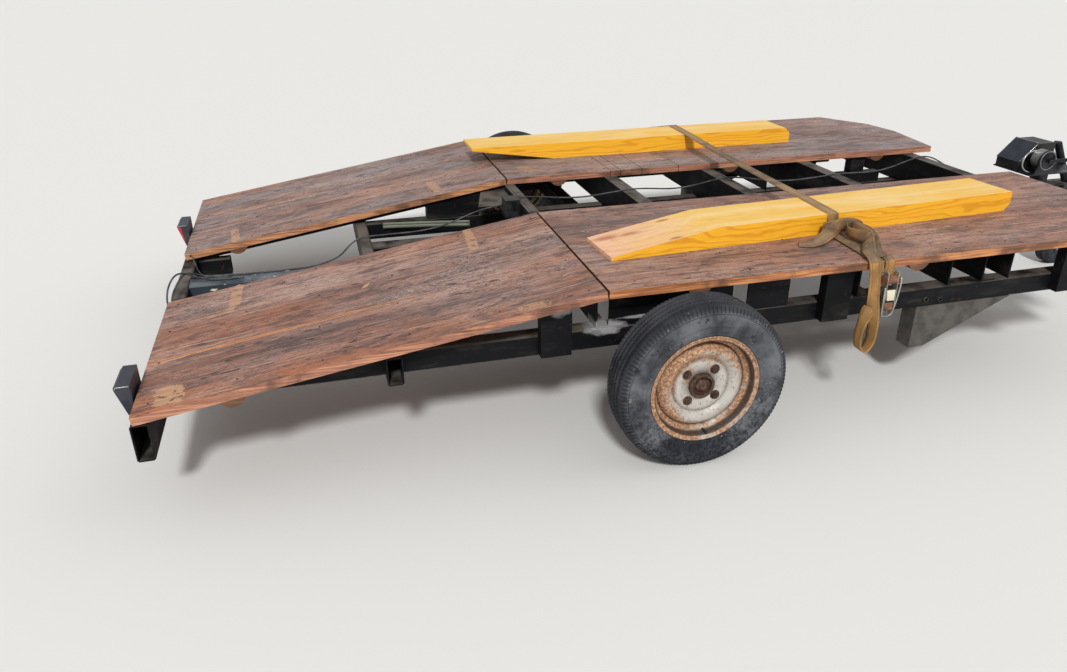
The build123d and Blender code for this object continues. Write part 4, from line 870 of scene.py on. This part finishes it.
ribbon("strapBunch", [
    (0.75, -0.88, 0.582, upWay), (0.768, -0.925, 0.588, upWay), (0.748, -0.968, 0.592, (0.3, 0.2, 1)),
    (0.714, -0.945, 0.598, (-0.2, 0.3, 1)), (0.694, -0.9, 0.6, (-0.3, 0.1, 1)), (0.712, -0.862, 0.604, upWay),
    (0.745, -0.864, 0.6, (0.2, 0, 1)), (0.758, -0.915, 0.598, (0.5, 0, 1)), (0.735, -0.985, 0.592, (0.8, -0.1, 0.8)),
    (0.706, -1.04, 0.579, (1, -0.1, 0.4)), (0.703, -1.075, 0.57, (1, 0, 0.1))], width=0.04)

tensioner = dict(
    x=0.7257, y=-1.1116, spoolZ=0.5, plate=0.0026, half=0.021, strapWidth=0.036, wheelOut=0.0245,
    outline=((-0.016, 0.373), (-0.017, 0.42), (-0.0155, 0.49), (-0.014, 0.528), (0.004, 0.533),
        (0.012, 0.522), (0.0135, 0.495), (0.009, 0.44), (0.008, 0.385), (0.0, 0.371)),
    wound=(-0.0175, -0.0135, -0.008, -0.001, 0.006, 0.012, 0.016, 0.0178), turn=(0.0135, 0.0151),
    handle=((0.752, -1.112, 0.5), (0.7535, -1.126, 0.516), (0.7535, -1.132, 0.495), (0.751, -1.13, 0.44),
        (0.746, -1.127, 0.395), (0.74, -1.125, 0.377), (0.73, -1.125, 0.3735), (0.716, -1.125, 0.3735),
        (0.706, -1.125, 0.378), (0.701, -1.127, 0.395), (0.6985, -1.13, 0.44), (0.6985, -1.128, 0.48)))
t = tensioner
ribbon("strapToSpool", [(x, y, z, alongWay) for x, y, z in (
    (0.722, -1.02, lie + 0.0045), (0.723, -1.075, lie + 0.004), (0.724, -1.0925, 0.5625), (t["x"], -1.0965, 0.548),
    (t["x"], -1.097, 0.52), (t["x"], -1.0975, 0.5))], width=t["strapWidth"])
cheeks = join([slab([at(t["x"] + end, t["y"] + y, z) for y, z in t["outline"]], (t["plate"], 0, 0))
               for end in (-t["half"], t["half"] - t["plate"])])
ratchetFrame = meshPiece("tensionerFrame", cheeks, "jockey_steel", look="brightFitting", bevel=0.0007)
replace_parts(ratchetFrame, "ratchet")
spoolAt = at(t["x"], t["y"], t["spoolZ"])
wound = [(-0.018, 0.0005)] + [(a, t["turn"][k % 2]) for k, a in enumerate(t["wound"])] + [(0.0182, 0.0005)]
verts, faces = ringMesh(wound, Vector((0, 0, 0)), 28)
verts = [spoolAt + Vector((v.y, v.x, v.z)) for v in verts]  # its axle lies along the trailer
meshPiece("woundSpool", (verts, faces), "jockey_steel", look="rustyFitting")
for k, x in enumerate((-t["wheelOut"], t["wheelOut"])):
    where = Matrix.Translation(spoolAt + Vector((x, 0, 0))) @ Matrix.Rotation(radians(90), 4, "Y")
    sizes = {"Count": 14, "Circle": 0.0165, "Tooth": (0.006, 0.004, 0.0026)}
    grow(f"ratchetWheel_{k}", toothRing, sizes, "jockey_steel", where, look="rustyFitting")
wire("ratchetHandle", t["handle"], 0.0026, "jockey_steel", look="brightFitting")
# half widths, set back and height of the foot and head, thickness, bevel
for name, look, foot, head, thick, bevel in (
        ("ratchetSleeve", "wornLabel", (0.014, 0.0, 0.432), (0.016, 0.004, 0.468), 0.006, 0.0016),
        ("ratchetPawl", "rustyFitting", (0.016, 0.002, 0.398), (0.014, 0.004, 0.422), 0.007, 0.0012)):
    corners = [at(t["x"] + way * half, t["y"] - 0.02 + back, z)
               for (half, back, z), ways in ((foot, (-1, 1)), (head, (1, -1))) for way in ways]
    meshPiece(name, slab(corners, (0, thick, 0)), "jockey_steel", look=look, bevel=bevel)
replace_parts(overDeck, "strap")
print("lashing made")

leads = dict(radius=0.0032, beamRadii=(0.0034, 0.0034, 0.0024))
rearLead = (
    (-1.605, 0.03, 0.3195), (-1.365, 0.018, 0.3195), (-1.048, 0.034, 0.3195), (-0.952, 0.054, 0.4165),
    (-0.874, 0.064, 0.417), (-0.609, 0.046, 0.425), (-0.41, 0.022, 0.514), (-0.33, 0.022, 0.514))
frontLead = (
    (-0.266, 0.022, 0.543), (-0.203, 0.022, 0.543), (0.001, 0.021, 0.517), (0.187, -0.006, 0.5445),
    (0.283, 0.008, 0.5445), (0.486, 0.043, 0.514), (0.672, 0.052, 0.5445), (0.768, 0.066, 0.5445),
    (0.987, 0.029, 0.511), (1.187, -0.034, 0.5445), (1.283, -0.02, 0.5445), (1.542, 0.074, 0.508),
    (1.784, 0.142, 0.5445), (1.88, 0.156, 0.5445), (1.97, 0.12, 0.491), (2.07, 0.066, 0.4185),
    (2.21, 0.036, 0.4045), (2.42, 0.034, 0.4045), (2.66, 0.033, 0.4045), (2.735, 0.021, 0.419),
    (2.79, 0.021, 0.419))
beamWires = (
    ((-1.652, -0.252, 0.3185), (-1.655, -0.25, 0.345), (-1.648, -0.2, 0.385), (-1.632, -0.1, 0.392),
        (-1.6, -0.055, 0.372), (-1.545, -0.04, 0.335), (-1.5, -0.02, 0.3185), (-1.4, -0.012, 0.3185)),
    ((-1.64, -0.24, 0.318), (-1.642, -0.235, 0.34), (-1.63, -0.16, 0.366), (-1.61, -0.04, 0.372),
        (-1.585, 0.02, 0.34), (-1.54, 0.034, 0.3182), (-1.44, 0.034, 0.3182)),
    ((-1.63, 0.275, 0.3172), (-1.628, 0.262, 0.335), (-1.612, 0.2, 0.362), (-1.59, 0.11, 0.35),
        (-1.57, 0.05, 0.323), (-1.52, 0.016, 0.3178), (-1.45, 0.01, 0.3178)))
front = wire("frontLead", frontLead, leads["radius"], "cable")
rear = wire("rearLead", rearLead, leads["radius"], "cable")
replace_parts(front, "wiring")
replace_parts(rear, "wiring")
for k, (route, radius) in enumerate(zip(beamWires, leads["beamRadii"])):
    wire(f"beamWire_{k}", route, radius, "cable")
print("leads run")

nails = dict(
    rows=(-0.15, 0.228, 0.48, 0.708, 0.985, 1.224, 1.52, 1.815),
    rampRows=(0.045, 0.33, 0.61, 0.87, 1.115, 1.355), deckY=0.31, rampY=0.305, across=0.735, head=0.0034,
    stray=(0.012, 0.022, 0), lift=0.0002)
turn = Matrix.Rotation(-rampSlope, 4, "Y")
slope = Matrix.Translation(at(jointX - 0.008, 0, deckTop)) @ turn
for side, s in sides.items():
    rows = [(f"deckNails_{side}_{k}", at(x, s * nails["deckY"], deckTop + nails["lift"]), 4 + k % 2)
            for k, x in enumerate(nails["rows"])]
    rows += [(f"rampNails_{side}_{k}", slope @ Vector((-down, s * nails["rampY"], nails["lift"])), 4)
             for k, down in enumerate(nails["rampRows"])]
    for k, (name, start, count) in enumerate(rows):
        where = Matrix.Translation(start) @ (turn if name.startswith("ramp") else Matrix())
        sizes = {"Count": count, "Step": (0, s * nails["across"] / (count - 1), 0), "Head": nails["head"],
                 "Stray": nails["stray"], "Seed": 11 * k + s + 3}
        grow(name, headRow, sizes, "boards", where, look="nailHead")
print("boards nailed")

# the rim is a bright strip that paints the highlight along the near end's top edge; its outline: ahead of the lamp's
# near or far end, and down from its top
lamp = dict(
    rim=(("high", -0.002, 0.0016), ("low", 0.008, 0.0016), ("low", 0.0012, 0.0088), ("low", 0.0036, 0.0105),
        ("low", 0.0095, 0.0046), ("high", -0.002, 0.0046)),
    proud=0.0016, rimWide=0.003, rimBevel=0.0006, beadAt=(0.0012, 0.0082), beadEnds=0.004, beadRadius=0.0022,
    rib=((0.0026, 1), (0.02105, 0), (0.02425, 0), (0.0058, 1)), ribs=12, ribFirst=0.01, ribGap=0.0095,
    ribWide=0.003, ribTop=0.014, ribFoot=0.006)
for side in sides:
    low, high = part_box(f"tail_lamp_{side}")
    ends = {"low": low.x, "high": high.x}
    # a painted highlight: a bright strip round the top of the lamp's near end
    rim = [(ends[end] + x, low.y - lamp["proud"], high.z - down) for end, x, down in lamp["rim"]]
    rim = slab(rim, (0, lamp["rimWide"], 0))
    meshPiece(f"lampRimHighlight_{side}", rim, "lamp_housing", look="brightFitting", bevel=lamp["rimBevel"])
    x, z = low.x - axleX + lamp["beadAt"][0], high.z - lamp["beadAt"][1]
    bead = [(x, y, z) for y in (low.y + lamp["beadEnds"], high.y - lamp["beadEnds"])]
    wire(f"lampBead_{side}", bead, lamp["beadRadius"], "lamp_housing")
    ribs = []
    for k in range(lamp["ribs"]):
        y = low.y + lamp["ribFirst"] + lamp["ribGap"] * k
        heights = low.z + lamp["ribFoot"], high.z - lamp["ribTop"]
        ribs.append(slab([(low.x + x, y, heights[top]) for x, top in lamp["rib"]], (0, lamp["ribWide"], 0)))
    meshPiece(f"lensRibs_{side}", join(ribs), "lamp_lens", smooth=False)
print("lamps trimmed")

# bright strips that paint the highlights along the lid's edges: how far the front and side strips lie in from its
# edges; a foot and a head are x and z
lidHighlight = dict(back=0.004, down=0.0005, ends=0.003, radius=0.0022, foot=(0.003, 0.004), head=(0.005, 0.0045),
            proud=0.0005, sideRadius=0.0016)
low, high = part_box("box_lid")
x0, x1 = low.x - axleX, high.x - axleX
front = [(x1 - lidHighlight["back"], y, high.z - lidHighlight["down"]) for y in (low.y + lidHighlight["ends"], high.y - lidHighlight["ends"])]
wire("lidHighlightStrip", front, lidHighlight["radius"], "lid", "lid", look="brightFitting")
# a painted highlight: a bright strip along the lid's near side
flank = [(x, low.y - lidHighlight["proud"], z) for x, z in (
    (x0 + lidHighlight["foot"][0], low.z + lidHighlight["foot"][1]), (x1 - lidHighlight["head"][0], high.z - lidHighlight["head"][1]))]
wire("lidEdgeHighlightStrip", flank, lidHighlight["sideRadius"], "lid", "lid", look="brightFitting")
winch = dict(
    x=2.29, y=-0.1485, down=0.048, turns=9, drum=0.0425, rope=0.0034,
    grip=((2.425, -0.18), (2.425, -0.225)), gripRadius=0.011, hookRadius=0.0032,
    hook=((2.25, -0.125, 0.0455), (2.205, -0.128, 0.05), (2.165, -0.135, 0.03), (2.15, -0.14, -0.01),
        (2.17, -0.14, -0.04), (2.205, -0.138, -0.052)))
z0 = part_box("winch_drum")[1].z - winch["down"]
where = Matrix.Translation(at(winch["x"], winch["y"], z0)) @ Matrix.Rotation(radians(-90), 4, "X")
sizes = {"Turns": winch["turns"], "Drum": winch["drum"], "Rope": winch["rope"]}
grow("winchWindings", windings, sizes, "jockey_steel", where, smooth=True)
wire("winchGrip", [(x, y, z0) for x, y in winch["grip"]], winch["gripRadius"], "rubber")
hook = [(x, y, z0 + z) for x, y, z in winch["hook"]]
wire("winchHookWire", hook, winch["hookRadius"], "jockey_steel", look="brightFitting")
print("winch and box trimmed")

bars = dict(
    radius=0.0065,
    routes=(((-0.82, 0.245, 0.4045), (-0.64, 0.215, 0.4075), (-0.447, 0.172, 0.4065)),
        ((-0.822, 0.205, 0.4045), (-0.64, 0.178, 0.407), (-0.455, 0.128, 0.4065))),
    strut=((0.59, 0.3285), (0.612, 0.3105), (0.77, 0.372), (0.76, 0.392)), strutY=-0.972, strutThick=0.006)
for k, route in enumerate(bars["routes"]):
    wire(f"paleBar_{k}", route, bars["radius"], "frame_paint", look="paleBar")
strut = slab([at(x, bars["strutY"], z) for x, z in bars["strut"]], (0, bars["strutThick"], 0))
meshPiece("rustyStrut", strut, "frame_paint", look="rustyFitting", bevel=0.001)
print("small bars laid")

# a ring of next to no width, so that its heads lie in one place
stay = dict(bolts=((0.977, 0.3575), (1.038, 0.351)), y=1.0052, head=0.0085, height=0.006, ring=(3, 0.00001))
for side, s in sides.items():
    for k, (x, z) in enumerate(stay["bolts"]):
        where = Matrix.Translation(at(x, s * stay["y"], z)) @ Matrix.Rotation(radians(-90 * s), 4, "X")
        count, circle = stay["ring"]
        sizes = {"Count": count, "Circle": circle, "Head": stay["head"], "Height": stay["height"]}
        grow(f"stayBolt_{side}_{k}", boltCircle, sizes, "bare_steel", where, look="brightFitting")
print("stays bolted")

camera = dict(place=(-1.0625, -3.232, 1.52), yaw=14.85, pitch=25.92, roll=-0.38, focal=814.74, width=1067)
yaw, pitch, roll = (radians(camera[k]) for k in ("yaw", "pitch", "roll"))
ahead = Vector((sin(yaw) * cos(pitch), cos(yaw) * cos(pitch), -sin(pitch)))
level = Vector((cos(yaw), -sin(yaw), 0))
upright = level.cross(ahead)
right = cos(roll) * level + sin(roll) * upright
up = cos(roll) * upright - sin(roll) * level
lens = bpy.data.cameras.new("camera")
lens.sensor_width = 36
lens.lens = camera["focal"] / camera["width"] * lens.sensor_width
eye = inScene(bpy.data.objects.new("camera", lens))
eye.matrix_world = Matrix.Translation(at(*camera["place"])) @ Matrix((right, up, -ahead)).transposed().to_4x4()
bpy.context.scene.camera = eye

# each lamp's name, strength, azimuth, height and size
studio = dict(
    world=0.55, floor="#DEDDDA", reach=60, lamps=(("key", 2.4, -14, 42, 8), ("fill", 0.35, 100, 35, 60)))
world = bpy.data.worlds.new("studio")
bpy.context.scene.world = world
world.use_nodes = True
sky = world.node_tree.nodes["Background"].inputs
sky["Color"].default_value = linear("#FFFFFF")
sky["Strength"].default_value = studio["world"]
for name, strength, azimuth, height, size in studio["lamps"]:
    sun = bpy.data.lights.new(name, "SUN")
    sun.energy = strength
    sun.angle = radians(size)
    source = inScene(bpy.data.objects.new(name, sun))
    a, h = radians(azimuth), radians(height)
    source.rotation_euler = Vector((sin(a) * cos(h), -cos(a) * cos(h), sin(h))).to_track_quat("Z", "Y").to_euler()

paleFloor = finish(*newMaterial("paleStudioFloor"), studio["floor"], 0.9)
mesh = bpy.data.meshes.new("floor")
reach = studio["reach"]
mesh.from_pydata([(-reach, -reach, 0), (reach, -reach, 0), (reach, reach, 0), (-reach, reach, 0)], [], [(0, 1, 2, 3)])
mesh.materials.append(paleFloor)
inScene(bpy.data.objects.new("floor", mesh))
bpy.context.scene.view_settings.view_transform = "Standard"
print("camera and light set")
